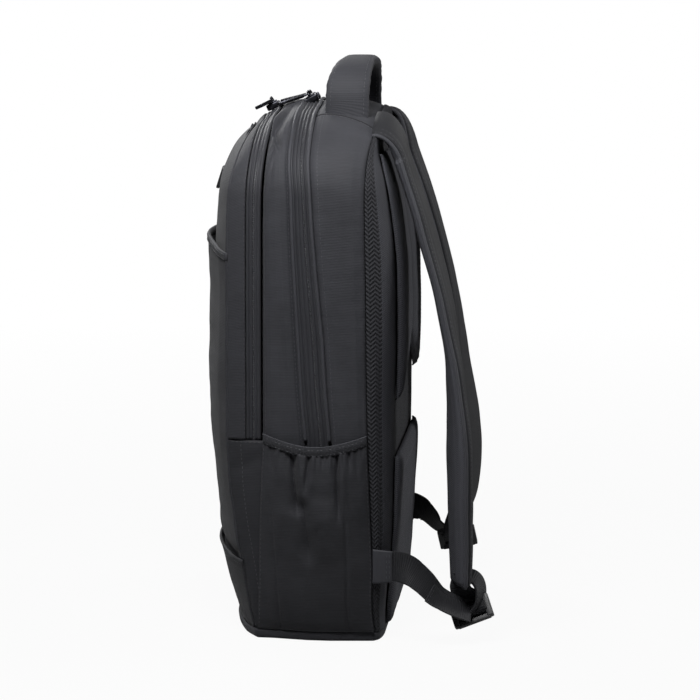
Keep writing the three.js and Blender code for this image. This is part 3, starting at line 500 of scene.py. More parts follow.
def build_weave():
    """Woven cloth: ribs across, finer threads along, streaks of lighter yarn and slow patches, and a little
    painted shade in the grooves between the ribs.
    """
    group, start, end = shader_group(
        "woven_cloth",
        [
            ("Place", "NodeSocketVector", None),
            ("Color", "NodeSocketColor", (0.05, 0.05, 0.055, 1)),
            ("Rib Pitch", "NodeSocketFloat", 1.3),
            ("Streaks", "NodeSocketFloat", 0.5),
            ("Relief", "NodeSocketFloat", 0.5),
            ("Base Roughness", "NodeSocketFloat", 0.75),
        ],
        [("Color", "NodeSocketColor"), ("Roughness", "NodeSocketFloat"), ("Normal", "NodeSocketVector")],
    )
    w = Wiring(group)
    split = w.node("ShaderNodeSeparateXYZ")
    w.feed(split.inputs[0], start.outputs["Place"])
    u, v = split.outputs[0], split.outputs[1]
    turns = w.math("DIVIDE", TURN, start.outputs["Rib Pitch"])
    rib = w.math("SINE", w.math("MULTIPLY", v, turns))
    warp = w.math("SINE", w.math("MULTIPLY", u, w.math("MULTIPLY", turns, 1.3)))
    long_streak = w.noise(w.scaled(start.outputs["Place"], (0.035, 0.75, 1)), 1, 2, 0.6)
    short_streak = w.noise(w.scaled(start.outputs["Place"], (0.22, 1.2, 1)), 1, 1)
    patch = w.noise(start.outputs["Place"], 0.02, 2)
    streak = w.math("ADD", w.math("MULTIPLY", long_streak, 0.6), w.math("MULTIPLY", short_streak, 0.4))
    tone = w.ranged(streak, 0.3, 0.7, -1, 1)
    tone = w.math("MULTIPLY", tone, start.outputs["Streaks"])
    # Rib tops lighter and grooves darker: painted shade that follows the ribs' relief.
    tone = w.math("ADD", tone, w.math("MULTIPLY", rib, 0.12))
    tone = w.math("ADD", tone, w.ranged(patch, 0.3, 0.7, -0.12, 0.12))
    gain = w.math("MAXIMUM", w.math("ADD", 1, tone), 0.2)
    shade = w.node("ShaderNodeVectorMath", operation="SCALE")
    w.feed(shade.inputs[0], start.outputs["Color"])
    w.feed(shade.inputs["Scale"], gain)
    w.feed(end.inputs["Color"], shade.outputs[0])
    smoother = w.math("MULTIPLY", tone, 0.1)
    w.feed(end.inputs["Roughness"], w.math("SUBTRACT", start.outputs["Base Roughness"], smoother))
    height = w.math("ADD", w.math("MULTIPLY", rib, 0.5), w.math("MULTIPLY", warp, 0.25))
    height = w.math("ADD", height, w.math("MULTIPLY", streak, 1.2))
    w.feed(end.inputs["Normal"], w.bump(height, start.outputs["Relief"], 0.00025))
    return group


def build_mesh_knit():
    """Spacer mesh: a zigzag of open ribs with small holes; the holes and rib grooves are darkened as painted
    shade.
    """
    group, start, end = shader_group(
        "spacer_mesh",
        [
            ("Place", "NodeSocketVector", None),
            ("Color", "NodeSocketColor", (0.02, 0.02, 0.022, 1)),
            ("Rib Pitch", "NodeSocketFloat", 3.4),
            ("Zigzag", "NodeSocketFloat", 18.0),
            ("Relief", "NodeSocketFloat", 0.8),
        ],
        [("Color", "NodeSocketColor"), ("Roughness", "NodeSocketFloat"), ("Normal", "NodeSocketVector")],
    )
    w = Wiring(group)
    split = w.node("ShaderNodeSeparateXYZ")
    w.feed(split.inputs[0], start.outputs["Place"])
    u, v = split.outputs[0], split.outputs[1]
    zig = w.math("PINGPONG", u, w.math("MULTIPLY", start.outputs["Zigzag"], 0.5))
    slanted = w.math("ADD", v, w.math("MULTIPLY", zig, 0.9))
    turns = w.math("DIVIDE", TURN, start.outputs["Rib Pitch"])
    rib = w.math("SINE", w.math("MULTIPLY", slanted, turns))
    holes = w.math("SINE", w.math("MULTIPLY", u, w.math("MULTIPLY", turns, 1.5)))
    open_place = w.math("MULTIPLY", w.ranged(rib, -1, 0.2, 1, 0), w.ranged(holes, -0.4, 0.8, 0, 1))
    fleck = w.noise(start.outputs["Place"], 0.9, 2)
    # The colour is darker in the rib grooves and darkest in the holes: painted shade in the knit's recesses.
    gain = w.math("SUBTRACT", w.ranged(rib, -1, 1, 0.85, 1.2), w.math("MULTIPLY", open_place, 0.4))
    gain = w.math("ADD", gain, w.ranged(fleck, 0.3, 0.7, -0.1, 0.1))
    shade = w.node("ShaderNodeVectorMath", operation="SCALE")
    w.feed(shade.inputs[0], start.outputs["Color"])
    w.feed(shade.inputs["Scale"], gain)
    w.feed(end.inputs["Color"], shade.outputs[0])
    w.feed(end.inputs["Roughness"], w.ranged(rib, -1, 1, 0.95, 0.7))
    height = w.math("SUBTRACT", rib, w.math("MULTIPLY", open_place, 1.6))
    w.feed(end.inputs["Normal"], w.bump(height, start.outputs["Relief"], 0.0005))
    return group


def build_grain():
    """Fine grain with slow wear, for moulded plastic and coated metal."""
    group, start, end = shader_group(
        "fine_grain",
        [
            ("Place", "NodeSocketVector", None),
            ("Color", "NodeSocketColor", (0.02, 0.02, 0.02, 1)),
            ("Worn Color", "NodeSocketColor", (0.05, 0.05, 0.05, 1)),
            ("Base Roughness", "NodeSocketFloat", 0.4),
            ("Relief", "NodeSocketFloat", 0.2),
        ],
        [("Color", "NodeSocketColor"), ("Roughness", "NodeSocketFloat"), ("Normal", "NodeSocketVector")],
    )
    w = Wiring(group)
    fine = w.noise(start.outputs["Place"], 2600, 2)
    slow = w.noise(start.outputs["Place"], 140, 3)
    worn = w.ranged(slow, 0.45, 0.75, 0, 0.7)
    w.feed(end.inputs["Color"], w.mixed(worn, start.outputs["Color"], start.outputs["Worn Color"]))
    rough = w.math("ADD", start.outputs["Base Roughness"], w.ranged(slow, 0.3, 0.7, -0.08, 0.1))
    w.feed(end.inputs["Roughness"], rough)
    w.feed(end.inputs["Normal"], w.bump(fine, start.outputs["Relief"], 0.0001))
    return group


WEAVE = build_weave()
KNIT = build_mesh_knit()
GRAIN = build_grain()


def finish_material(name, group, values, place="UV", **shader_values):
    material = bpy.data.materials.new(name)
    material.use_nodes = True
    tree = material.node_tree
    w = Wiring(tree)
    shader = tree.nodes["Principled BSDF"]
    coordinates = w.node("ShaderNodeTexCoord")
    effect = w.node("ShaderNodeGroup", node_tree=group)
    w.feed(effect.inputs["Place"], coordinates.outputs[place])
    for label, value in values.items():
        effect.inputs[label].default_value = value
    w.feed(shader.inputs["Base Color"], effect.outputs["Color"])
    w.feed(shader.inputs["Roughness"], effect.outputs["Roughness"])
    w.feed(shader.inputs["Normal"], effect.outputs["Normal"])
    for label, value in shader_values.items():
        shader.inputs[label.replace("_", " ")].default_value = value
    return material


def grey(value, tint=1.2):
    return (value, value * 1.02, value * tint, 1)


def woven(name, value, pitch=1.3, streaks=0.12, relief=0.35, rough=0.7, sheen=0.04):
    values = {
        "Color": grey(value),
        "Rib Pitch": pitch,
        "Streaks": streaks,
        "Relief": relief,
        "Base Roughness": rough,
    }
    return finish_material(
        name, WEAVE, values, Sheen_Weight=sheen, Sheen_Roughness=0.5, Specular_IOR_Level=0.22
    )


BODY_CLOTH = woven("body_cloth", 0.027)
FRONT_CLOTH = woven("front_cloth", 0.024)
POCKET_CLOTH = woven("pocket_cloth", 0.019)
TAPE_CLOTH = woven("zip_tape", 0.024, 0.9, 0.05, 0.3, 0.55)
BINDING = woven("elastic_binding", 0.021, 0.9, 0.05, 0.6, 0.65)
PIPING_CLOTH = woven("piping_cloth", 0.034, 0.8, 0.05, 0.4, 0.55)
WEBBING_CLOTH = woven("webbing", 0.013, 1.6, 0.05, 0.9, 0.55)
# The straps' cover is the body's woven cloth made darker as painted shade on the straps' rear-facing faces.
STRAP_CLOTH_SHADED = woven("strap_cloth_painted_shade", 0.012)
MESH_CLOTH = finish_material(
    "mesh_knit",
    KNIT,
    {"Color": grey(0.019), "Rib Pitch": 3.6, "Zigzag": 8.0, "Relief": 0.55},
    Specular_IOR_Level=0.25,
)
# Knit of the pads and strap bodies, with its own finer pattern; its colour is raised well above the mesh
# knit's as painted light, for pads that sit in the straps' shade.
PAD_KNIT_PAINTED_LIGHT = finish_material(
    "pad_knit_painted_light",
    KNIT,
    {"Color": grey(0.042), "Rib Pitch": 1.8, "Zigzag": 4.0, "Relief": 0.3},
    Specular_IOR_Level=0.25,
)
THREAD = finish_material(
    "thread", GRAIN, {"Color": grey(0.034), "Worn Color": grey(0.045), "Base Roughness": 0.5}, place="Object"
)
COIL_PLASTIC = finish_material(
    "coil_nylon",
    GRAIN,
    {"Color": grey(0.03), "Worn Color": grey(0.05), "Base Roughness": 0.35},
    place="Object",
)
LOCK_PLASTIC = finish_material(
    "moulded_plastic",
    GRAIN,
    {"Color": grey(0.009), "Worn Color": grey(0.016), "Base Roughness": 0.42},
    place="Object",
)
GUNMETAL = finish_material(
    "gunmetal",
    GRAIN,
    {"Color": grey(0.035), "Worn Color": grey(0.09), "Base Roughness": 0.36, "Relief": 0.1},
    place="Object",
    Metallic=1.0,
)


# Bands between two seams over the side and the top

def shares_for(width, radius=1.6, spacing=2.6):
    near = np.array([0, 0.12, 0.35, 0.65, 1.0]) * radius / width
    middle = np.linspace(near[-1], 1 - near[-1], max(3, int(width / spacing)))[1:-1]
    return np.concatenate([near, middle, 1 - near[::-1]])


def band_points(front, rear, shares, lift, foot=POCKET_SEAM + 0.3):
    start, end = arch(front, foot=foot), arch(rear, foot=foot)
    start = start + [0, GAP / 2, 0]
    end = end - [0, GAP / 2, 0]
    points = start[None] * (1 - shares[:, None, None]) + end[None] * shares[:, None, None]
    normals = grid_normals(points, BODY_MIDDLE)
    return points + normals * lift(points, shares[:, None] * np.ones(points.shape[:2]))[..., None]


# Lower ends of the gussets and tapes, in view and hidden in a side pocket's mouth
SEEN_FOOT = POCKET_SEAM + 0.3
HIDDEN_FOOT = POCKET_SEAM - 11


def seam_distance(points):
    """Distance to the nearer of the first and the last row, and along the rows."""
    steps = np.linalg.norm(np.diff(points, axis=0), axis=2)
    run = np.concatenate([np.zeros((1, points.shape[1])), np.cumsum(steps, axis=0)])
    along = run_length(points[len(points) // 2])
    return np.minimum(run, run[-1] - run), along[None] * np.ones_like(run)


def cloth_band(
    name, front, rear, width, bulge, material, detail=None, spacing=2, seed=1, drape=0.5, foot=SEEN_FOOT
):
    roll, pucker = 1.6, 0.35
    shares = shares_for(width, roll, spacing)

    def lift(points, s):
        near, along = seam_distance(points)
        flow = np.stack([along, near * 0, s * 0], axis=-1)
        value = np.interp(s, *bulge)
        value = value - edge_roll(near, roll)
        value = value + pucker * np.exp(-near / 5) * noise(flow, 6.5, seed) * np.clip(near / roll, 0, 1)
        value = value + drape * noise(points, (40, 16, 55), seed + 1) * np.clip(near / 8, 0, 1)
        value = value + 0.3 * drape * noise(points, (30, 30, 9), seed + 2) * np.clip(near / 8, 0, 1)
        if detail is not None:
            value = value + detail(points, s, along) * np.clip(near / 3, 0, 1)
        return value

    points = band_points(front, rear, shares, lift, foot)
    piece = cloth_piece(name, points, material, grid_uv(points))
    return piece, points, grid_normals(points, BODY_MIDDLE)


CRUMPLES = [
    # side, height, half height, share across, lean, width, depth
    [1, 426, 13, 0.30, 0.022, 0.34, 5.5],
    [1, 414, 7, 0.42, -0.028, 0.16, 4.0],
    [1, 401, 9, 0.22, 0.020, 0.10, 2.2],
    [1, 384, 10, 0.30, 0.012, 0.08, 1.4],
    [-1, 424, 14, 0.34, 0.020, 0.30, 5.0],
    [-1, 410, 8, 0.46, -0.024, 0.15, 3.2],
    [-1, 392, 11, 0.26, 0.016, 0.09, 1.8],
]


def crumple(points, s, along):
    """The pinched folds at the shoulders of the middle gusset."""
    x, _, z = np.moveaxis(points, -1, 0)
    total = 0
    for side, centre, tall, share, lean, wide, depth in CRUMPLES:
        slanted = s - share - (z - centre) * lean
        here = bell(z, centre, tall) * (np.sign(x) == side)
        crease = np.where(slanted > 0, bell(slanted, 0, wide), bell(slanted, 0, 0.35 * wide))
        total = total - depth * crease * here
        total = total + 0.4 * depth * bell(slanted, -0.75 * wide, 0.4 * wide) * here
    total = total - 4.5 * step_up(z, 426, 440) * bell(s, 0.45, 0.42)
    low = step_up(z, 330, 180)
    total = total - 1.4 * bell(s, 0.72 - 0.25 * (z - 170) / 160, 0.1) * low * (z < 330)
    return total


def rear_folds(points, s, along):
    """Slow hollows across the wide rear gusset."""
    _, _, z = np.moveaxis(points, -1, 0)
    total = -1.0 * bell(s, 0.55, 0.3) * bell(z, 345, 30)
    total = total - 0.9 * bell(s + (z - 250) * 0.004, 0.5, 0.22) * bell(z, 250, 50)
    total = total + 0.7 * bell(s, 0.35, 0.2) * bell(z, 200, 26)
    total = total - 0.7 * bell(s, 0.88, 0.1) * np.clip(noise(points, (60, 60, 14), 5), 0, 1)
    return total


seams = []
front_bulge = ([0, 0.5, 1], [0, 0.6, 0])
front_gusset, front_gusset_points, front_gusset_normals = cloth_band(
    "front_gusset_cloth", "frontSeam", "frontZip", 16, front_bulge, FRONT_CLOTH, seed=3, drape=0.3
)
settle(front_gusset, "cloth", "front_gusset")
seams.append(row_at(front_gusset_points, front_gusset_normals, 0.84))

middle_bulge = (
    [0, 0.05, 0.13, 0.28, 0.5, 0.7, 0.86, 0.94, 1],
    [-3.6, -2.8, 0.2, 2.4, 3.2, 3.0, 1.4, -1.4, -3.6],
)
middle_gusset, middle_points, middle_normals = cloth_band(
    "middle_gusset_cloth", "frontZipRear", "mainZip", 30, middle_bulge, BODY_CLOTH, crumple, 0.8,
    seed=7, drape=0.9, foot=HIDDEN_FOOT,
)
settle(middle_gusset, "cloth", "middle_gusset")
seams.append(row_at(middle_points, middle_normals, 0.13))
seams.append(row_at(middle_points, middle_normals, 0.87))

rear_bulge = ([0, 0.04, 0.1, 0.25, 0.5, 0.78, 0.93, 1], [-2.6, -1.4, 0.6, 2, 2.6, 2, 0.6, -0.8])
rear_gusset, rear_points, rear_normals = cloth_band(
    "rear_gusset_cloth", "mainZipRear", "rearSeam", 48, rear_bulge, BODY_CLOTH, rear_folds, 1.4,
    seed=11, drape=0.6, foot=HIDDEN_FOOT,
)
settle(rear_gusset, "cloth", "rear_gusset")
seams.append(row_at(rear_points, rear_normals, 0.2))


# Zips: tape with woven ribs, a coil of teeth, and the turned cloth edges beside it

def zip_tape(name, front, rear, ridges, dip, slot_share, node, foot=SEEN_FOOT):
    shares = np.linspace(0, 1, ridges * 8 + 1)

    def lift(points, s):
        ribs = np.abs(np.sin(s * ridges * math.pi)) ** 0.6
        tall = 1 + 0.35 * np.sin(1 + np.floor(s * ridges) * 2.1)
        opening = np.exp(-((np.abs(s - slot_share) * ridges / 0.2) ** 4))
        return -dip + 1.3 * ribs * tall - 1.2 * opening

    points = band_points(front, rear, shares, lift, foot)
    piece = cloth_piece(name, points, TAPE_CLOTH, grid_uv(points), 1.2)
    settle(piece, "tape", node)
    return points, grid_normals(points, BODY_MIDDLE)


def zip_coil(name, points, normals, share, node):
    path, up = row_at(points, normals, share)
    length = np.linalg.norm(np.diff(path, axis=0), axis=1).sum()
    count = int(length / 1.55)
    both = resampled(np.concatenate([path, up], axis=1), count)
    path, up = both[:, :3], unit(both[:, 3:])
    along, up, side = frames_along(path, up)
    offset = np.where(np.arange(count) % 2, 0.5, -0.5)[:, None]
    centres = path + up * 0.75 + side * offset
    piece = scatter(name, centres, (side, along, up), bead(2.6, 1.4, 1.2), COIL_PLASTIC)
    settle(piece, "coil", node)
    core = tube(name + "_core", path + up * 0.3, up, 2.4, 1.0, COIL_PLASTIC, 8)
    settle(core, "coil")


front_tape, front_tape_normals = zip_tape(
    "front_zip_tape", "frontZip", "frontZipRear", 4, 2.4, 0.5, "front_zip_band"
)
zip_coil("front_zip_teeth", front_tape, front_tape_normals, 0.5, "front_zip_coil")
main_tape, main_tape_normals = zip_tape(
    "main_zip_tape", "mainZip", "mainZipRear", 5, 3.2, 0.6, "main_zip_band", HIDDEN_FOOT
)
zip_coil("main_zip_teeth", main_tape, main_tape_normals, 0.6, "main_zip_coil")


def seam_piping(name, station, rise, node):
    path = arch(station)
    up = np.cross(unit(np.gradient(path, axis=0)), [0, 1, 0])
    up = up * np.sign((up * (path - BODY_MIDDLE)).sum(-1, keepdims=True))
    piece = tube(name, path + up * rise, up, 3.0, 2.8, PIPING_CLOTH, 12)
    settle(piece, "cloth", node)


seam_piping("main_piping_front_cord", "mainZip", -1.8, "main_piping_front")
seam_piping("main_piping_rear_cord", "mainZipRear", -0.6, "main_piping_rear")


# Front of the bag

def panel_rows(station, heights, turns=()):
    half = BODY_WIDTH / 2 * STATIONS[station][0]
    top = BODY_HEIGHT * STATIONS[station][1] - CROWN
    z = list(heights)
    halves = [half * section("width", h) for h in heights]
    turn = [0.0] * len(z)
    for t in turns:
        angle = t * math.pi / 2
        height = SHOULDER + (top - SHOULDER) * math.sin(angle)
        z.append(height)
        halves.append((half - CORNER * (1 - math.cos(angle))) * section("width", height))
        turn.append(t)
    return np.array(z), np.array(halves), np.array(turn)


def dome_share(z, turn, side):
    straight = section("frontDome" if side == "front" else "backDome", z)
    return np.where(turn > 0, np.interp(turn, SHOULDER_DOMES["turn"], SHOULDER_DOMES[side]), straight)


def front_points(heights, turns, shares, offset, pouch=None, more_rise=0):
    z, half, turn = panel_rows("frontSeam", heights, turns)
    dome = smoothed(dome_share(z, turn, "front"), 7) if len(z) > 20 else dome_share(z, turn, "front")
    s = shares[None] * np.ones((len(z), 1))
    arc = 1 - np.abs(s) ** 2.2
    pouch_depth = 0 if pouch is None else pouch[:, None]
    layer = np.asarray(offset) * np.ones(len(z))
    depth = FRONT_DOME * dome[:, None] * arc + (layer[:, None] + pouch_depth) * np.minimum(1, 4 * arc)
    middle_rise = section("rise", z) * BODY_HEIGHT * (1 - step_up(turn, 0, 0.45)) + more_rise
    rise = middle_rise[:, None] * (1 - np.abs(s) ** 1.8)
    crown = (CROWN * np.sin(turn * math.pi / 2))[:, None] * (1 - s * s)
    x = (half[:, None] + np.clip(layer, 0, 3)[:, None]) * s
    y = place("frontSeam", z)[:, None] - GAP / 2 - depth
    return np.stack([x, y, z[:, None] + rise + crown], axis=-1)


def wide_shares(count, half=134, radius=1.6):
    near = np.array([0, 0.12, 0.35, 0.65, 1.0]) * radius / half
    ends = np.concatenate([near, [near[-1] * 2.2]])
    middle = np.linspace(-1 + ends[-1], 1 - ends[-1], count)[1:-1]
    return np.concatenate([-1 + ends, middle, 1 - ends[::-1]])


def front_cloth(
    name, points, material, roll_rows, seed, thickness=CLOTH, drape=0.8, detail=None
):
    normals = grid_normals(points, BODY_MIDDLE)
    s_steps = np.linalg.norm(np.diff(points, axis=1), axis=2)
    s_run = np.concatenate([np.zeros((points.shape[0], 1)), np.cumsum(s_steps, axis=1)], axis=1)
    near = np.minimum(s_run, s_run[:, -1:] - s_run)
    v_steps = np.linalg.norm(np.diff(points, axis=0), axis=2)
    v_run = np.concatenate([np.zeros((1, points.shape[1])), np.cumsum(v_steps, axis=0)])
    low, high = roll_rows
    if low:
        near = np.minimum(near, v_run)
    if high:
        near = np.minimum(near, v_run[-1] - v_run)
    lift = -edge_roll(near, 1.6)
    lift = lift + 0.4 * np.exp(-near / 6) * noise(points, (7, 7, 7), seed) * np.clip(near / 2, 0, 1)
    lift = lift + drape * noise(points, (60, 60, 34), seed + 1) * np.clip(near / 12, 0, 1)
    lift = lift + 0.35 * drape * noise(points, (40, 40, 11), seed + 2) * np.clip(near / 12, 0, 1)
    if detail is not None:
        lift = lift + detail(points, near)
    points = points + normals * lift[..., None]
    uv = np.stack([points[..., 0] + 400, points[..., 2] + 50], axis=-1)
    piece = cloth_piece(name, points, material, uv, thickness)
    return piece, points, grid_normals(points, BODY_MIDDLE)


FOOT = BASE_THICKNESS + GAP
TURNS = np.linspace(0, 1, 34)[1:]
panel_heights = np.linspace(FOOT, SHOULDER, 110)
PANEL_SINK = 1.8
panel_layer = np.concatenate([-PANEL_SINK * (1 - step_up(panel_heights, 296, 326)), 0 * TURNS])
panel, panel_points, panel_normals = front_cloth(
    "front_panel_cloth",
    front_points(panel_heights, TURNS, wide_shares(84), panel_layer),
    FRONT_CLOTH,
    (False, True),
    21,
)
settle(panel, "cloth", "front_panel")


def overlay_detail(points, near):
    _, _, z = np.moveaxis(points, -1, 0)
    return 0.8 * bell(z, 20, 9) * noise(points, (22, 30, 12), 31)


overlay_up = np.linspace(0, 1, 44)
overlay_heights = FOOT + (OVERLAY_EDGE + 6 - FOOT) * overlay_up
overlay_fall = -11 * overlay_up**2
overlay, overlay_points, overlay_normals = front_cloth(
    "front_overlay_cloth",
    front_points(overlay_heights, (), wide_shares(84), 1.6 + 1.8 * overlay_up**8, None, overlay_fall),
    POCKET_CLOTH,
    (False, True),
    31,
    drape=0.5,
    detail=overlay_detail,
)
settle(overlay, "cloth", "front_overlay")

pocket_heights = np.linspace(OVERLAY_EDGE - 16, POCKET_LIP, 124)
pocket_up = np.clip((pocket_heights - OVERLAY_EDGE) / (POCKET_LIP - OVERLAY_EDGE), 0, 1)


def pocket_detail(points, near):
    """Slack folds that hang from the pocket's mouth, and a crease above the overlay."""
    x, _, z = np.moveaxis(points, -1, 0)
    hang = step_up(z, 190, 300)
    slack = (1.5 * np.sin(x / 21 + 0.8 * np.sin(z / 60)) - 1.2) * hang * np.clip(near / 20, 0, 1)
    crease = -1.1 * bell(z - 0.1 * np.abs(x), 96, 5) * noise(points, (50, 50, 60), 44)
    edge = np.interp(x, overlay_points[-1][:, 0], overlay_points[-1][:, 2])
    tuck = -1.8 * bell(z, edge + 1, 4) + 1.0 * bell(z, edge + 14, 9)
    return slack + crease + tuck


pocket, pocket_points, pocket_normals = front_cloth(
    "front_pocket_cloth",
    front_points(pocket_heights, (), wide_shares(84), LAYER_GAP - 0.2, POUCH * pocket_up**1.5),
    FRONT_CLOTH,
    (False, False),
    41,
    detail=pocket_detail,
)
settle(pocket, "cloth", "front_pocket")

HEM = 7
hem_path = pocket_points[-1]
hem_normals = pocket_normals[-1]
around = np.linspace(0, TURN, 16, endpoint=False)
hem_out = np.sign(np.cos(around)) * np.abs(np.cos(around)) ** 0.7 * 1.7
hem_profile = np.stack([hem_out, np.sin(around) * HEM / 2], axis=1)
hem_rings = (
    (hem_path - hem_normals * 0.6 + [0, 0, HEM / 2 - 1])[:, None]
    + hem_normals[:, None] * hem_profile[None, :, :1]
    + np.array([0, 0, 1.0]) * hem_profile[None, :, 1:]
)
hem_uv = np.stack(np.meshgrid(hem_path[:, 0] + 400, around * 3, indexing="ij"), axis=-1)
hem = lofted("front_pocket_hem_cloth", hem_rings, FRONT_CLOTH, hem_uv)
settle(hem, "cloth", "front_pocket_hem")
for high in (1.2, 5.0):
    seams.append((hem_path + hem_normals * 1.1 + [0, 0, high - 1], hem_normals))
seams.append(row_at(overlay_points, overlay_normals, 0.93))
seams.append(row_at(overlay_points, overlay_normals, 0.84))
seams.append((panel_points[-8, 6:-6], panel_normals[-8, 6:-6]))


# Lower side of the bag under the pockets

def lower_side(name, side, node):
    top_rows = POCKET_SEAM - GAP - np.array([1.4, 1.0, 0.6, 0.25, 0])
    heights = np.concatenate([np.linspace(FOOT, POCKET_SEAM - 2, 60), top_rows])
    shares = shares_for(118, 1.6, 3.2)
    z = heights[None] * np.ones((len(shares), 1))
    front = place("frontSeam", z) + GAP / 2
    rear = place("rearSeam", z) - GAP / 2
    y = front + (rear - front) * shares[:, None]
    top = POCKET_SEAM - GAP
    mouth_start = BODY_DEPTH * section("pocketFront", top)
    mouth_end = place("rearSeam", top)
    mouth = step_up(y, mouth_start + 3, mouth_start + 9) * (1 - step_up(y, mouth_end - 9, mouth_end - 3))
    top = top - 15 * mouth
    z = FOOT + (z - FOOT) * (top - FOOT) / (POCKET_SEAM - GAP - FOOT)
    front = place("frontSeam", z) + GAP / 2
    rear = place("rearSeam", z) - GAP / 2
    y = front + (rear - front) * shares[:, None]
    x = side_half(y, z)
    points = np.stack([side * x, y, z], axis=-1)
    normals = grid_normals(points, BODY_MIDDLE)
    near = np.minimum(np.minimum(y - front, rear - y), top - z)
    lift = -edge_roll(near, 1.6) + 0.8 * noise(points, (30, 14, 42), 51) * np.clip(near / 8, 0, 1)
    lift = lift + 0.35 * np.exp(-near / 5) * noise(points, 6.5, 52) * np.clip(near / 2, 0, 1)
    lift = lift - 1.6 * bell(y - front, 17, 5) * step_up(z, 120, 40)
    lift = lift - 0.9 * bell(z - 0.5 * (y - front), 140, 6) * np.clip(near / 8, 0, 1)
    points = points + normals * lift[..., None]
    piece = cloth_piece(name, points, POCKET_CLOTH, np.stack([y + 200, z], axis=-1))
    settle(piece, "cloth", node)
    normals = grid_normals(points, BODY_MIDDLE)
    seams.append(column_at(points[:22], normals[:22], 0.93))
    seams.append((points[7, 4:], normals[7, 4:]))
    return piece


# Side pockets: boxy at the foot, gathered under an elastic binding

BELLY_ROWS = ([0, 0.05, 0.15, 0.4, 0.65, 0.85, 1], [0.1, 0.3, 0.42, 0.6, 1, 0.86, 0.55])
POCKET_BELLY = 12
MOUTH_RISE = 6
MOUTH_SAG = 9
BINDING_TALL = 8


def mouth_height(across):
    return POCKET_SEAM + MOUTH_RISE - MOUTH_SAG * np.sin(math.pi * across)


def pocket_base(side, across, z, stand_off):
    front = BODY_DEPTH * section("pocketFront", z)
    rear = place("rearSeam", z) - GAP
    y = front + (rear - front) * across
    return np.stack([side * (side_half(y, z) + stand_off), y, z], axis=-1)


def boxy(across, up):
    """Cross-section from a box with darts at the foot to a soft round at the mouth."""
    left = 0.2 - 0.14 * up
    right = 0.79 - 0.01 * up
    box = np.minimum(np.minimum(across / left, 1), np.clip((1 - across) / (1 - right), 0, 1))
    soft = np.sin(math.pi * across) ** 0.55
    mix = step_up(up, 0.35, 0.85)
    return np.maximum(box, 0) ** 0.8 * (1 - mix) + soft * mix


POCKET_FOLDS = [
    # foot across, mouth across, width, depth, low, high
    [0.47, 0.29, 0.034, 7.5, 0.62, 1.02],
    [0.52, 0.36, 0.070, 6.5, 0.36, 0.74],
    [0.33, 0.45, 0.020, 4.8, 0.76, 1.02],
    [0.745, 0.715, 0.018, 6.0, 0.60, 1.02],
    [0.10, 0.095, 0.018, 2.4, 0.80, 1.02],
    [0.60, 0.62, 0.012, 1.4, 0.88, 1.02],
    [0.83, 0.835, 0.014, 2.0, 0.84, 1.02],
    [0.90, 0.905, 0.014, 1.8, 0.80, 1.02],
    [0.22, 0.205, 0.012, 1.4, 0.87, 1.02],
    [0.42, 0.62, 0.030, 2.2, 0.52, 0.60],
]


def pocket_folds(across, up, mirrored):
    """Gathers under the binding, the deeper folds below them and the pleats at the foot."""
    total = 0
    for foot_at, mouth_at, width, depth, low, high in POCKET_FOLDS:
        centre = foot_at + (mouth_at - foot_at) * up + mirrored * 0.025
        fade = step_up(up, low, low + 0.14) * (1 - step_up(up, high - 0.04, high + 0.04))
        crease = np.exp(-np.abs(across - centre) / width)
        shoulder = bell(across, centre + 2.6 * width, 2 * width)
        total = total - (depth * crease - 0.3 * depth * shoulder) * fade
    for centre in (0.2 - 0.14 * up, 0.79 - 0.01 * up):
        total = total - 1.8 * np.exp(-np.abs(across - centre) / 0.012) * (1 - step_up(up, 0.62, 0.8))
    ruffle = 0.75 * np.cos(TURN * 17 * across + 3 * np.sin(9 * across)) * step_up(up, 0.88, 1)
    return total + ruffle


def side_pocket(name, side, node):
    across_line = np.concatenate(
        [[0, 0.002, 0.006, 0.012], np.linspace(0.02, 0.98, 96), [0.988, 0.994, 0.998, 1]]
    )
    up_line = np.concatenate([np.linspace(0, 0.8, 66)[:-1], np.linspace(0.8, 1, 26)])
    across, up = np.meshgrid(across_line, up_line, indexing="ij")
    z = FOOT + up * (mouth_height(across) - BINDING_TALL + 1.2 - FOOT)
    belly = POCKET_BELLY * np.interp(up, *BELLY_ROWS) * boxy(across, up)
    edge = np.clip(6 * across * (1 - across) * 4, 0, 1)
    mirrored = 0 if side > 0 else 1
    flow = pocket_base(1, across, z, 0)
    lift = belly + pocket_folds(across, up, mirrored) * edge
    lift = lift + 1.0 * noise(flow, (20, 17, 26), 61 + mirrored) * edge * step_up(up, 0.05, 0.3)
    lift = lift + 0.5 * noise(flow, (14, 9, 13), 63 + mirrored) * edge * step_up(up, 0.3, 0.6)
    stand = LAYER_GAP + CLOTH + np.maximum(lift, 0)
    points = pocket_base(side, across, z, stand)
    cloth_uv = np.stack([across * 96 + 10, z], axis=-1)
    piece = cloth_piece(name, points, POCKET_CLOTH, cloth_uv, 1.5)
    settle(piece, "cloth", node)
    normals = grid_normals(points, BODY_MIDDLE)
    seams.append((points[3, 2:], normals[3, 2:]))
    seams.append((points[-4, 2:], normals[-4, 2:]))
    return points


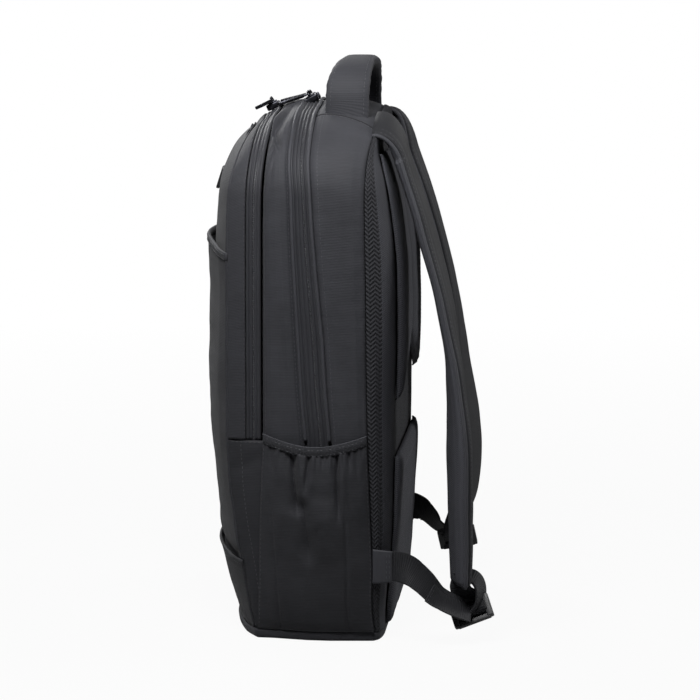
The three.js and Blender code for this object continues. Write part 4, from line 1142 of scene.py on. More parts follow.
def pocket_binding(name, side, node):
    across = np.linspace(0, 1, 121)
    turn_round = np.linspace(0, TURN, 16, endpoint=False)
    up_part = np.sin(turn_round) * BINDING_TALL / 2
    out_part = np.sign(np.cos(turn_round)) * np.abs(np.cos(turn_round)) ** 0.6 * 1.35
    rings = []
    for a in across:
        z = mouth_height(a) - BINDING_TALL / 2 + up_part
        bulge = POCKET_BELLY * 0.55 * max(math.sin(math.pi * a), 0) ** 0.55
        ripple = 0.12 * math.cos(TURN * 34 * a)
        stand = LAYER_GAP + 1.6 + bulge + out_part + ripple * (out_part > 0)
        rings.append(pocket_base(side, np.full(16, a), z, stand))
    rings = np.array(rings)
    uv = np.stack(np.meshgrid(across * 96, turn_round * 2.6, indexing="ij"), axis=-1)
    piece = lofted(name, rings, BINDING, uv)
    settle(piece, "cloth", node)
    top = rings[:, 4] * 0.5 + rings[:, 3] * 0.5
    lip = tube(name + "_lip", top, np.array([0, 0, 1.0]), 1.5, 1.3, PIPING_CLOTH, 8)
    settle(lip, "cloth")
    for level in (1, 14):
        path = rings[:, level]
        seams.append((path, np.broadcast_to([side, 0, 0.0], path.shape)))


for side, word in ((1, "right"), (-1, "left")):
    lower_side(f"lower_side_cloth_{word}", side, f"lower_side_{word}")
    side_pocket(f"side_pocket_cloth_{word}", side, f"side_pocket_{word}")
    pocket_binding(f"pocket_elastic_{word}", side, f"pocket_binding_{word}")


# Back of the bag

def back_arc(share):
    past = np.clip((np.abs(share) - BACK_FLAT) / (1 - BACK_FLAT), 0, 1)
    return np.sqrt(1 - past**2)


def back_points(heights, turns, shares, lift=0):
    z, half, turn = panel_rows("rearSeam", heights, turns)
    dome = dome_share(z, turn, "back")
    if len(z) > 20:
        dome = smoothed(dome, 9)
        dome[-1] = 0
    s = shares[None] * np.ones((len(z), 1))
    depth = BACK_DOME * dome[:, None] * back_arc(s)
    crown = (CROWN * np.sin(turn * math.pi / 2))[:, None] * (1 - s * s)
    y = place("rearSeam", z)[:, None] + GAP / 2 + depth + lift
    return np.stack([half[:, None] * s, y, z[:, None] + crown], axis=-1)


back_edge = 1 - (1 - BACK_FLAT) * (1 - np.sin(np.linspace(0, math.pi / 2, 14)))
back_shares = np.concatenate([-back_edge[::-1], np.linspace(-BACK_FLAT, BACK_FLAT, 90)[1:-1], back_edge])
back_grid = back_points(np.linspace(FOOT, SHOULDER, 130), TURNS, back_shares)
back_normals = grid_normals(back_grid, np.array([0, 20, 200.0]))
soft = 0.5 * noise(back_grid, (40, 60, 36), 71) * np.clip((1 - np.abs(back_shares)) * 8, 0, 1)[None]
back_grid = back_grid + back_normals * soft[..., None]
back_run = run_length(back_grid[60])
back_uv = np.stack([back_run[None] + 0 * back_grid[..., 2], back_grid[..., 2]], axis=-1)
back = cloth_piece("back_panel_mesh", back_grid, MESH_CLOTH, back_uv, 3, np.array([0, 20, 200.0]))
settle(back, "mesh", "back_panel")
back.data.materials.append(PAD_KNIT_PAINTED_LIGHT)
SIDE_MESH = 15
edge_run = np.minimum(back_run, back_run[-1] - back_run)[:-1]
plain = (edge_run > SIDE_MESH) & (np.abs(back_shares[:-1]) > 0.79)
rows = back_grid.shape[0] - 1
face_zone = np.zeros(len(back.data.polygons), np.int32)
face_zone[: rows * len(plain)] = np.tile(plain, rows)
back.data.polygons.foreach_set("material_index", face_zone)

PAD_LIFT = (
    [0.03, 0.1, 0.135, 0.213, 0.291, 0.377, 0.46, 0.628, 0.711, 0.771, 0.834, 0.871, 0.905, 0.94],
    [0.9, 0.8, 0.6, 0.6, 0.78, 0.9, 1, 1, 0.9, 0.8, 0.6, 0.45, 0.3, 0],
)
PAD_THICKNESS = 6


def pad_share(z):
    return np.interp(np.asarray(z) / BODY_HEIGHT, *PAD_LIFT)


surface_z, surface_half, surface_turn = panel_rows("rearSeam", np.linspace(FOOT, SHOULDER, 120), TURNS)
surface_dome = BACK_DOME * dome_share(surface_z, surface_turn, "back")
surface_place = place("rearSeam", surface_z) + GAP / 2 + surface_dome


def back_surface(z):
    return np.interp(z, surface_z, surface_place)


def back_pad(name, from_share, to_share, from_foot, to_foot, top, node, seed):
    across = np.concatenate([[0, 0.01, 0.03, 0.06], np.linspace(0.1, 0.9, 40), [0.94, 0.97, 0.99, 1]])
    up = np.concatenate([[0, 0.01, 0.03, 0.06], np.linspace(0.1, 0.9, 60), [0.94, 0.97, 0.99, 1]])
    share = from_share + (to_share - from_share) * across
    foot = from_foot + (to_foot - from_foot) * across
    z = foot[None] + (top - foot)[None] * up[:, None]
    half = np.interp(z, surface_z, surface_half)
    x = share[None] * half
    wide = np.abs(to_share - from_share) * 140
    to_side = np.minimum(across, 1 - across)[None] * wide
    corner = np.minimum(to_side, np.minimum(up, 1 - up)[:, None] * (top - foot)[None])
    crown = np.sqrt(np.clip(1 - (1 - np.clip(corner / 12, 0, 1)) ** 2, 0, 1))
    quilt = 0.5 * noise(np.stack([x, x * 0, z], axis=-1), (26, 30, 30), seed)
    thick = 1.2 + (PAD_THICKNESS * pad_share(z) + 0.6 + quilt) * crown
    points = np.stack([x, back_surface(z) + LAYER_GAP + thick, z], axis=-1)
    uv = points[..., [0, 2]] + [400, 60]
    piece = cloth_piece(name, points, PAD_KNIT_PAINTED_LIGHT, uv, 1.6, np.array([0, 0, 200.0]))
    settle(piece, "mesh", node)
    normals = grid_normals(points, np.array([0, 0, 200.0]))
    for index in (4, -5):
        seams.append((points[4:-4, index], normals[4:-4, index]))
        seams.append((points[index, 4:-4], normals[index, 4:-4]))


back_pad("lumbar_pad_mesh", -0.82, 0.82, 11, 11, 0.343 * BODY_HEIGHT, "lumbar_pad", 73)
for side, word in ((1, "right"), (-1, "left")):
    back_pad(
        f"back_pad_mesh_{word}",
        side * 0.07,
        side * 0.78,
        0.552 * BODY_HEIGHT,
        0.448 * BODY_HEIGHT,
        0.904 * BODY_HEIGHT,
        f"back_pad_{word}",
        75,
    )


# Base

def base_outline():
    front = front_points(np.array([FOOT]), (), np.linspace(-1, 1, 60), LAYER_GAP + 2)[0]
    rear = back_points(np.array([FOOT]), (), np.linspace(1, -1, 60))[0]
    names = list(STATIONS)[1:-1]
    wide = section("width", BASE_THICKNESS) * BODY_WIDTH / 2
    right = np.array([[wide * STATIONS[n][0] + 2.2, place(n, BASE_THICKNESS), 0] for n in names])
    left = right[::-1] * [-1, 1, 1]
    ring = np.concatenate([front, right, rear, left, front[:1]])
    return resampled(ring, 241)[:-1]


outline = base_outline()
base_rings = []
ROUND = 3.5
for angle in np.linspace(0, math.pi / 2, 7):
    inset = ROUND * (1 - math.sin(angle)) + 0.0
    base_rings.append((inset, ROUND * (1 - math.cos(angle))))
base_rings += [(-0.3, 6.2), (-0.1, 7.4), (0.8, 8.0)]
rings = []
for inset, height in base_rings:
    shrunk = outline * [1 - inset / (BODY_WIDTH / 2), 1 - inset / (BODY_DEPTH / 2), 0]
    shrunk[:, 2] = height
    rings.append(shrunk)
rings = np.array(rings)
run = np.linspace(0, 900, 240)
base_uv = np.stack(np.meshgrid(run, rings[:, 0, 2] * 2, indexing="xy"), axis=-1)
base = lofted("base_cloth", rings, BODY_CLOTH, base_uv)
settle(base, "cloth", "base_panel")


# Handle

HANDLE_SPAN = 0.493 * BODY_WIDTH


def handle_rings(count=70, around_count=32):
    crest = BODY_HEIGHT + 36.5 - 4.5
    foot = 433
    rings, middle = [], []
    for step in range(count + 1):
        angle = math.pi * step / count
        lift = math.sin(angle) ** 0.64
        across = math.copysign(abs(math.cos(angle)) ** 0.66, math.cos(angle))
        centre = np.array([HANDLE_SPAN / 2 * across, 17 + 5.5 * lift**4, foot + (crest - foot) * lift])
        middle.append(centre)
    middle = resampled(np.array(middle), count + 1)
    alongs = unit(np.gradient(middle, axis=0) * [1, 0, 1])
    for step, (centre, along) in enumerate(zip(middle, alongs)):
        lift = (centre[2] - foot) / (crest - foot)
        across = centre[0] / HANDLE_SPAN * 2
        thick = np.cross(along, [0, 1, 0])
        width = 36.5 - 2.5 * step_up(lift, 0.6, 0.8) - 2.6 * step_up(lift, 0.8, 0.95)
        width = width - 4 * step_up(lift, 0.93, 1)
        depth = 9.5 * (0.55 + 0.45 * step_up(lift, 0.05, 0.4))
        turn_round = np.linspace(0, TURN, around_count, endpoint=False)
        wide = np.sign(np.cos(turn_round)) * np.abs(np.cos(turn_round)) ** 0.45 * width / 2
        high = np.sign(np.sin(turn_round)) * np.abs(np.sin(turn_round)) ** 0.7 * depth / 2
        pucker = 0.25 * math.sin(step * 1.9) * (np.abs(np.cos(turn_round)) > 0.85)
        ring = centre + np.outer(wide + pucker, [0, 1, 0]) + np.outer(high, thick)
        flare = 1 - step_up(lift, 0, 0.35)
        ring[:, 2] -= flare * (2 + 0.012 * np.maximum(ring[:, 1] + 6, 0) ** 2)
        ring[:, 0] += math.copysign(1, across) * flare * 0.12 * np.maximum(ring[:, 1] + 6, 0)
        rings.append(ring)
    return np.array(rings), middle


handle_loft, handle_middle = handle_rings()
handle_run = run_length(handle_middle)
handle_uv = np.stack(np.meshgrid(handle_run, np.linspace(0, 86, 32), indexing="ij")[::-1], axis=-1)
handle = lofted("handle_cloth", handle_loft, BODY_CLOTH, handle_uv)
settle(handle, "cloth", "handle")
for index in (5, 11, 21, 27):
    path = handle_loft[3:-3, index]
    seams.append((path, unit(path - handle_middle[3:-3])))


def foot_seam(side, suffix):
    """The seam that falls backward from the handle's foot over the rear gusset; the seam is real, and its
    dark line is painted shade, a cord of the darkest cloth laid in its groove.
    """
    path, ups = [], []
    for line, up in zip(rear_points[3:-3], rear_normals[3:-3]):
        keep = (line[:, 2] > 395) & (line[:, 0] * side > 0)
        order = np.argsort(line[keep, 0] * side)
        reach = line[keep, 0][order] * side
        share = (line[keep, 1].mean() - rear_points[0][:, 1].mean()) / 46
        wanted = HANDLE_SPAN / 2 + 5 + 17 * np.clip(share, 0, 1) ** 1.6
        both = np.concatenate([line[keep][order], up[keep][order]], axis=1)
        found = np.array([np.interp(wanted, reach, both[:, k]) for k in range(6)])
        path.append(found[:3])
        ups.append(found[3:])
    path = resampled(np.array(path), 60)
    ups = unit(resampled(np.array(ups), 60))
    # The cord in the dark webbing cloth is painted shade: it darkens the seam's groove where the seam's
    # shadow falls.
    cord = tube(f"handle_seam_shade_{suffix}", path - ups * 0.1, ups, 2.0, 1.2, WEBBING_CLOTH, 8)
    settle(cord, "cloth")
    seams.append((path + np.array([side * 2.4, 0, -0.6]), ups))


foot_seam(1, "right")
foot_seam(-1, "left")


# Shoulder straps

STRAP_WIDTH = 62
STRAP_THICKNESS = 13
STRAP_STAND_OFF = 53
STRAP_TOP = BODY_HEIGHT - 13
STRAP_SPREAD = BODY_WIDTH / 2
STRAP_ROWS = [
    # height, spread, right off, left off, width, thickness, roll
    [1, 0.486, 0, 0, 0.82, 0.62, 0],
    [0.985, 0.489, 0.05, 0.03, 0.84, 0.85, 0],
    [0.954, 0.5, 0.1, 0.05, 0.88, 1, 0],
    [0.925, 0.513, 0.13, 0.07, 0.92, 1, 0],
    [0.857, 0.527, 0.17, 0.12, 1, 1, 1],
    [0.815, 0.554, 0.225, 0.16, 1, 1, 1],
    [0.757, 0.58, 0.29, 0.22, 1, 1, 2],
    [0.709, 0.608, 0.38, 0.28, 1, 1, 2],
    [0.656, 0.635, 0.48, 0.36, 1, 1, 1],
    [0.612, 0.662, 0.54, 0.43, 1, 1, 0],
    [0.563, 0.69, 0.61, 0.47, 1, 1, -2],
    [0.517, 0.716, 0.66, 0.503, 1, 1.05, -6],
    [0.457, 0.743, 0.707, 0.554, 1, 1.1, -9],
    [0.4, 0.77, 0.74, 0.608, 1, 1.2, -12],
    [0.342, 0.797, 0.763, 0.676, 0.97, 1.25, -14],
    [0.282, 0.818, 0.798, 0.743, 0.9, 1.25, -13],
    [0.233, 0.838, 0.834, 0.759, 0.82, 1.2, -13],
    [0.176, 0.858, 0.882, 0.73, 0.74, 1.15, -15],
]
STRAP_ENDS = {
    "right": [0.108, 0.872, 0.93, 0.93, 0.66, 1.0, -14],
    "left": [0.15, 0.872, 0.70, 0.70, 0.66, 0.9, -14],
}


def strap_rows(word):
    side = 1 if word == "right" else -1
    rows = np.array(STRAP_ROWS + [STRAP_ENDS[word]], float)
    z = rows[:, 0] * STRAP_TOP
    x = side * rows[:, 1] * STRAP_SPREAD
    seat = back_surface(z) + GAP + PAD_THICKNESS * pad_share(z) + LAYER_GAP + STRAP_THICKNESS * rows[:, 5] / 2
    y = seat + rows[:, 2 if side > 0 else 3] * STRAP_STAND_OFF
    data = np.stack([x, y, z, rows[:, 4], rows[:, 5], rows[:, 6]], axis=1)
    run = run_length(data[:, :3])
    wanted = np.linspace(0, run[-1], 150)
    dense = np.stack([np.interp(wanted, run, data[:, k]) for k in range(6)], axis=1)
    dense = np.stack([smoothed(dense[:, k], 17) for k in range(6)], axis=1)
    return dense, wanted, side


RING = 44
RING_TURN = np.linspace(0, TURN, RING, endpoint=False)
RING_ACROSS = np.sign(np.cos(RING_TURN)) * np.abs(np.cos(RING_TURN)) ** 0.6
RING_PROFILE = np.sign(np.sin(RING_TURN)) * np.abs(np.sin(RING_TURN)) ** 0.75
RING_PROFILE = RING_PROFILE * (1 - 0.16 * bell(np.abs(RING_ACROSS), 0.78, 0.06))
ROOT_JOIN = 0.92 * STRAP_TOP
ROOT_SINK = 0.5

seam_line = arch("rearSeam")
seam_half = seam_line[seam_line[:, 0] >= 0][::-1]


def strap_root(centre, along, width, depth, side):
    """Rings that leave the rear seam backward and bend down into the strap."""
    across = centre[0] + side * RING_ACROSS * width / 2
    start_height = np.interp(np.abs(across), seam_half[:, 0], seam_half[:, 2]) - ROOT_SINK
    start = np.stack([across, place("rearSeam", start_height) - 1, start_height], axis=-1)
    end = np.stack([across, 0 * across + centre[1], 0 * across + centre[2]], axis=-1)
    span = np.linalg.norm(end - start, axis=-1, keepdims=True)
    leave = np.array([0, 1.0, 0.12]) * span * 1.15
    arrive = along * span * 0.9
    rings, thick = [], []
    for t in np.linspace(0, 1, 15)[:-1]:
        spine = (2 * t**3 - 3 * t**2 + 1) * start + (t**3 - 2 * t**2 + t) * leave
        spine = spine + (3 * t**2 - 2 * t**3) * end + (t**3 - t**2) * arrive
        way = (6 * t**2 - 6 * t) * (start - end) + (3 * t**2 - 4 * t + 1) * leave
        way = way + (3 * t**2 - 2 * t) * arrive
        way = unit(way * [0, 1, 1])
        outward = np.stack([0 * across, -way[:, 2], way[:, 1]], axis=-1)
        slim = 0.5 + 0.5 * step_up(t, 0, 0.7)
        rings.append(spine + outward * (RING_PROFILE * depth / 2 * slim)[:, None])
        thick.append(unit(outward.mean(axis=0)))
    return rings, thick


def strap(word):
    dense, run, side = strap_rows(word)
    dense = dense[dense[:, 2] < ROOT_JOIN]
    centre = dense[:, :3]
    along = unit(np.gradient(centre, axis=0))
    roll = np.radians(dense[:, 5]) * side
    wide = np.stack([np.cos(roll), -np.sin(roll), roll * 0], axis=1)
    wide = unit(wide - along * (wide * along).sum(-1, keepdims=True)) * side
    thick = np.cross(wide, along)
    thick = thick * np.sign(thick[:, 1:2])
    width = STRAP_WIDTH * dense[:, 3]
    depth = STRAP_THICKNESS * dense[:, 4]
    spots = np.stack([dense[:, 2], dense[:, 2] * 0, dense[:, 2] * 0], axis=1)
    wave = noise(spots, 26, 81 if side > 0 else 83)
    half = depth[:, None] / 2 + 0.5 * wave[:, None]
    to_end = np.linalg.norm(centre - centre[-1], axis=1)
    closing = np.sqrt(np.clip(1 - (1 - np.clip(to_end / 5, 0, 1)) ** 2, 0.1, 1))
    half = half * closing[:, None]
    width = width * (0.85 + 0.15 * closing)
    rings = centre[:, None] + wide[:, None] * (RING_ACROSS[None] * width[:, None] / 2)[..., None]
    rings = rings + thick[:, None] * (RING_PROFILE[None] * half)[..., None]
    root, root_thick = strap_root(centre[0], along[0], width[0], depth[0], side)
    rings = np.concatenate([root, rings])
    thick = np.concatenate([root_thick, thick])
    run = run_length(rings.mean(axis=1))
    lines = np.stack(np.meshgrid(run, RING_TURN * 20, indexing="ij")[::-1], axis=-1)
    body = lofted(f"strap_body_{word}", rings, PAD_KNIT_PAINTED_LIGHT, lines)
    settle(body, "mesh", f"strap_{word}")
    face = [k for k in range(RING) if np.sin(RING_TURN[k]) > 0.12]
    cover_points = rings[:, face] + thick[:, None] * 0.6
    cover_uv = np.stack(np.meshgrid(run, RING_ACROSS[face] * 31, indexing="ij"), axis=-1)
    behind = centre.mean(0) - [0, 300, 0]
    cover = cloth_piece(f"strap_cover_{word}", cover_points, STRAP_CLOTH_SHADED, cover_uv, 0.9, behind)
    settle(cover, "cloth")
    for index, edge in ((0, "outer"), (RING // 2, "inner")):
        cord = tube(f"strap_piping_{word}_{edge}", rings[:, index], thick, 3.4, 3.6, PIPING_CLOTH, 10)
        settle(cord, "cloth")
    for index in (3, 6, RING // 2 - 3, RING // 2 - 6):
        seams.append((rings[2:-3, index] + thick[2:-3] * 0.7, thick[2:-3]))


strap("right")
strap("left")


# Ladder locks, webbing and wings

LOCK_WIDTH = 34
LOCK_LENGTH = 22
LOCK_THICKNESS = 5
WEBBING_WIDTH = 25
WEBBING_THICKNESS = 1.6
WING_LENGTH = 16
WING_TALL = 27
WING_CENTRE = 0.146 * BODY_HEIGHT
# Turn of each ladder lock's bars from level, in radians
LOCK_TILTS = {"right": 0.38, "left": 0.17}


def strap_end(word):
    row = STRAP_ENDS[word]
    side = 1 if word == "right" else -1
    z = row[0] * STRAP_TOP
    seat = float(back_surface(z)) + GAP + PAD_THICKNESS * float(pad_share(z)) + LAYER_GAP
    seat = seat + STRAP_THICKNESS * row[5] / 2
    return np.array([side * row[1] * STRAP_SPREAD, seat + row[2] * STRAP_STAND_OFF, z]), side


def lock_frame(word):
    end, side = strap_end(word)
    tilt = LOCK_TILTS[word]
    low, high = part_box(f"ladder_lock_{word}")
    centre = np.array((low + high) / 2) / MM
    bar = np.array([0, math.cos(tilt), math.sin(tilt)])
    up = np.array([0, -math.sin(tilt), math.cos(tilt)])
    return centre, bar, up, side, end


def rounded_copy(name, node, material, slot, width, segments=3):
    """A piece with the solid's own shape and rounded edges."""
    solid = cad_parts[node]
    mesh = bmesh.new()
    mesh.from_mesh(solid.data)
    bmesh.ops.remove_doubles(mesh, verts=mesh.verts, dist=1e-5)
    bmesh.ops.dissolve_limit(mesh, angle_limit=math.radians(3), verts=mesh.verts, edges=mesh.edges)
    sharp = [e for e in mesh.edges if len(e.link_faces) == 2 and e.calc_face_angle(0) > math.radians(25)]
    bmesh.ops.bevel(
        mesh,
        geom=sharp,
        offset=width * MM,
        segments=segments,
        profile=0.6,
        affect="EDGES",
        clamp_overlap=True,
    )
    data = bpy.data.meshes.new(name)
    mesh.to_mesh(data)
    mesh.free()
    data.materials.clear()
    data.materials.append(material)
    data.polygons.foreach_set("use_smooth", np.ones(len(data.polygons), bool))
    piece = bpy.data.objects.new(name, data)
    bpy.context.scene.collection.objects.link(piece)
    return settle(piece, slot, node)


def ribbon(name, path, wide, out, width, thickness, slot, node=None, material=None):
    """A woven ribbon with rounded edges along a path."""
    rim = [(1, 0), (0.97, 0.42), (0.9, 0.5), (0.5, 0.5), (0, 0.5), (-0.5, 0.5), (-0.9, 0.5), (-0.97, 0.42)]
    profile = np.array(rim + [(-x, -y) for x, y in rim])
    width = np.broadcast_to(width, (len(path),))
    rings = (
        path[:, None]
        + wide[:, None] * (profile[:, 0][None] * width[:, None] / 2)[..., None]
        + out[:, None] * (profile[:, 1] * thickness)[None, :, None]
    )
    run = run_length(path)
    uv = np.stack(np.meshgrid(run, profile[:, 0] * 12, indexing="ij")[::-1], axis=-1)
    piece = lofted(name, rings, material or WEBBING_CLOTH, uv)
    return settle(piece, slot, *([node] if node else []))


def wing_place(side):
    y = float(place("rearSeam", WING_CENTRE)) + LAYER_GAP
    half = float(side_half(np.array([y]), np.array([WING_CENTRE]))[0]) + LAYER_GAP + 1.2
    return np.array([side * half, y, WING_CENTRE])


SAG_ROWS = ([0, 0.1, 0.25, 0.42, 0.6, 0.8, 1], [0, 0.05, 0.075, 0.04, -0.03, -0.03, 0])


def catmull(points, count):
    points = np.asarray(points, float)
    padded = np.concatenate([[2 * points[0] - points[1]], points, [2 * points[-1] - points[-2]]])
    out = []
    for value in np.linspace(0, len(points) - 1, count):
        k = min(int(value), len(points) - 2)
        t = value - k
        a, b, c, d = padded[k : k + 4]
        bend = (2 * a - 5 * b + 4 * c - d) * t**2 + (3 * b - a - 3 * c + d) * t**3
        out.append(0.5 * (2 * b + (c - a) * t + bend))
    return np.array(out)


# Share of the way to the lock, and how far the webbing's upper edge leans in by there
WEBBING_TWIST = ([0, 0.1, 0.3, 0.65, 1], [0, 10, 38, 58, 60])
TAIL_TWIST = 12
TAIL_DROP = 6.5


def twisted(wide, out, degrees):
    turn = np.radians(degrees)[..., None]
    return out * np.cos(turn) + wide * np.sin(turn), wide * np.cos(turn) - out * np.sin(turn)


def webbing(word):
    centre, _, _, side, _ = lock_frame(word)
    start = wing_place(side) + [0, WING_LENGTH - 3, 0]
    face = side * (LOCK_THICKNESS / 2 + GAP + WEBBING_THICKNESS / 2)
    end = centre + [face, -1, 1]
    span = np.linalg.norm(end - start)
    points = [start + (end - start) * t + [0, 0, s * span] for t, s in zip(*SAG_ROWS)]
    path = resampled(catmull(points, 120), 80)
    share = np.linspace(0, 1, 80)
    along = unit(np.gradient(path, axis=0))
    out = np.array([side, 0, 0.0]) - along * (along[:, :1] * side)
    out = unit(out)
    wide = np.cross(along, out) * -side
    upright = np.maximum(0, 1 - share * 4)[:, None]
    wide = unit(wide * np.minimum(1, share * 4)[:, None] + np.array([0, 0, 1.0]) * upright)
    return path, along, *twisted(wide, out, np.interp(share, *WEBBING_TWIST)), side, span


def dress_webbing(word):
    path, _, out, wide, _, span = webbing(word)
    flutter = 0.5 * np.sin(np.linspace(0, 5, 80))[:, None]
    ribbon(
        f"webbing_ribbon_{word}",
        path + out * flutter,
        wide,
        out,
        WEBBING_WIDTH,
        WEBBING_THICKNESS,
        "webbing",
        f"webbing_{word}",
    )
    tail = 38 / span
    keep = np.linspace(0, 1, 80) >= 1 - tail
    lift = WEBBING_THICKNESS + 2 * GAP
    tail_path = path[keep] + out[keep] * lift - wide[keep] * TAIL_DROP
    curl = np.linspace(1, 0, keep.sum())[:, None] ** 2
    tail_path = tail_path + out[keep] * curl * 1.6
    out[keep], wide[keep] = twisted(wide[keep], out[keep], np.full(keep.sum(), TAIL_TWIST))
    ribbon(
        f"webbing_tail_ribbon_{word}",
        tail_path,
        wide[keep],
        out[keep],
        WEBBING_WIDTH,
        WEBBING_THICKNESS,
        "webbing",
        f"webbing_tail_{word}",
    )
    end_cross = tail_path[2] + wide[keep][2] * np.linspace(-11, 11, 12)[:, None] + out[keep][2] * 0.9
    seams.append((end_cross, np.broadcast_to(out[keep][2], end_cross.shape)))


def rounded_block(name, centre, axes, sizes, taper, bevel, material, slot, *nodes):
    """A block with rounded edges that narrows along its first axis."""
    axes = np.array(axes)
    corners = []
    for i in (-1, 1):
        for j in (-1, 1):
            for k in (-1, 1):
                narrow = 1 - taper * (i + 1) / 2
                spot = np.array([i * sizes[0] / 2, j * sizes[1] / 2 * narrow, k * sizes[2] / 2])
                corners.append(centre + spot @ axes)
    faces = [(0, 1, 3, 2), (4, 6, 7, 5), (0, 4, 5, 1), (2, 3, 7, 6), (0, 2, 6, 4), (1, 5, 7, 3)]
    piece = make_mesh(name, corners, faces, material)
    mesh = bmesh.new()
    mesh.from_mesh(piece.data)
    bmesh.ops.bevel(mesh, geom=mesh.edges[:], offset=bevel * MM, segments=4, profile=0.55, affect="EDGES")
    bmesh.ops.recalc_face_normals(mesh, faces=mesh.faces)
    mesh.to_mesh(piece.data)
    mesh.free()
    piece.data.polygons.foreach_set("use_smooth", np.ones(len(piece.data.polygons), bool))
    return settle(piece, slot, *nodes)


LOCK_LEAN = math.radians(32)
STUB_TILT = 0.36


def leaning_lock(word):
    """Centre, bar direction, up and outward directions of a lock that leans inward at its top."""
    centre, bar, up, side, end = lock_frame(word)
    out = np.array([side, 0, 0.0])
    lean_up = up * math.cos(LOCK_LEAN) - out * math.sin(LOCK_LEAN)
    lean_out = out * math.cos(LOCK_LEAN) + up * math.sin(LOCK_LEAN)
    return centre, bar, lean_up, lean_out, end


# Steps backward and upward from the strap's end, along the loop that turns into the lock
STUB_STOPS = [(-2, 14), (1, 7.5), (6, 8), (12, 8.5), (18, 5), (21.5, -2), (21.5, -12), (18.5, -19), (13, -25)]
# Reach to the lock backward and upward that the steps suit, and their scale on the far side
STUB_REACH = (11.6, -22.0)
FAR_STUB_SCALE = (1, 0.3, 0.5)
STUB_WIDTH = 21.0
STUB_THICKNESS = 2.2
TONGUE_WIDTH = 23.0
TONGUE_THICKNESS = 2.4
TONGUE_RISE = 13


def dress_stub(word):
    """The short webbing that swells backward out of the strap's end and turns over the lock."""
    centre, bar, up, out_way, end = leaning_lock(word)
    reach = centre - end
    near_scale = (1, reach[1] / STUB_REACH[0], reach[2] / STUB_REACH[1])
    scale = np.array(near_scale if word == "right" else FAR_STUB_SCALE)
    steps = np.linspace(0, 1, len(STUB_STOPS))
    stops = [end + np.array([reach[0] * t, back, rise]) * scale for t, (back, rise) in zip(steps, STUB_STOPS)]
    path = resampled(catmull(stops, 90), 60)
    along = unit(np.gradient(path, axis=0))
    level = np.broadcast_to(out_way * [1, 0, 0] / abs(out_way[0]), path.shape)
    radial = unit(np.cross(level, along))
    radial = radial * np.sign((radial * (path - centre)).sum(-1, keepdims=True))
    wide = unit(level - radial * STUB_TILT)
    wide = unit(wide - along * (wide * along).sum(-1, keepdims=True))
    out = np.cross(wide, along)
    stub = f"strap_stub_ribbon_{word}"
    ribbon(stub, path, wide, out, STUB_WIDTH, STUB_THICKNESS, "webbing", f"strap_stub_{word}")
    top_bar = centre + up * (LOCK_LENGTH / 2 - 1.7)
    tongue_stops = [
        end + [0, 0, TONGUE_RISE],
        end,
        (end + top_bar) / 2 - out_way,
        top_bar - out_way * 2,
        centre - out_way * 2.4,
    ]
    tongue = resampled(catmull(tongue_stops, 60), 40)
    along = unit(np.gradient(tongue, axis=0))
    turned = np.linspace(0, 1, 40)[:, None] ** 0.7
    wide = unit(unit(np.array([out_way[0], 0.25, 0])) * (1 - turned) + bar * turned)
    wide = unit(wide - along * (wide * along).sum(-1, keepdims=True))
    out = np.cross(wide, along)
    ribbon(f"strap_tongue_{word}", tongue, wide, out, TONGUE_WIDTH, TONGUE_THICKNESS, "webbing")


# Heights and depths of the webbing's way over and under the bars
LOCK_WEAVE = [
    (-9, -3.6),
    (-5.4, -2.2),
    (-4.6, 0.6),
    (-2.6, 3.4),
    (0, 3.9),
    (2.8, 3.4),
    (4.6, 0.4),
    (5.6, -2.4),
    (9, -3.6),
]
TURN_WIDTH = 27.5
TURN_THICKNESS = 2.0
RAIL_SIZE = (LOCK_LENGTH - 1, 5.6, 5.6)
RAIL_INSET = 2.6


def dress_lock(word):
    """The moulded lock with its side rails, and the webbing woven over and under its bars."""
    centre, bar, up, out_way, _ = leaning_lock(word)
    points = [centre + up * height + out_way * out for height, out in LOCK_WEAVE]
    path = resampled(catmull(points, 80), 48)
    along = unit(np.gradient(path, axis=0))
    wide = np.broadcast_to(bar, path.shape)
    out = np.cross(wide, along)
    ribbon(f"webbing_turn_{word}", path, wide, out, TURN_WIDTH, TURN_THICKNESS, "webbing")
    moulding = rounded_copy(
        f"ladder_lock_moulding_{word}", f"ladder_lock_{word}", LOCK_PLASTIC, "plastic", 0.9
    )
    corners = np.empty(len(moulding.data.vertices) * 3)
    moulding.data.vertices.foreach_get("co", corners)
    corners = corners.reshape(-1, 3) / MM - centre
    _, _, flat_up, side, _ = lock_frame(word)
    flat_out = np.array([side, 0, 0.0])
    leaned = (
        np.outer(corners @ bar, bar) + np.outer(corners @ flat_up, up) + np.outer(corners @ flat_out, out_way)
    )
    moulding.data.vertices.foreach_set("co", ((leaned + centre) * MM).ravel())
    moulding.data.update()
    for end in (-1, 1):
        rail = centre + bar * end * (LOCK_WIDTH / 2 - RAIL_INSET)
        axes = (up, bar, out_way)
        name = f"lock_rail_{word}_{end + 1}"
        rounded_block(name, rail, axes, RAIL_SIZE, 0, 1.2, LOCK_PLASTIC, "plastic")


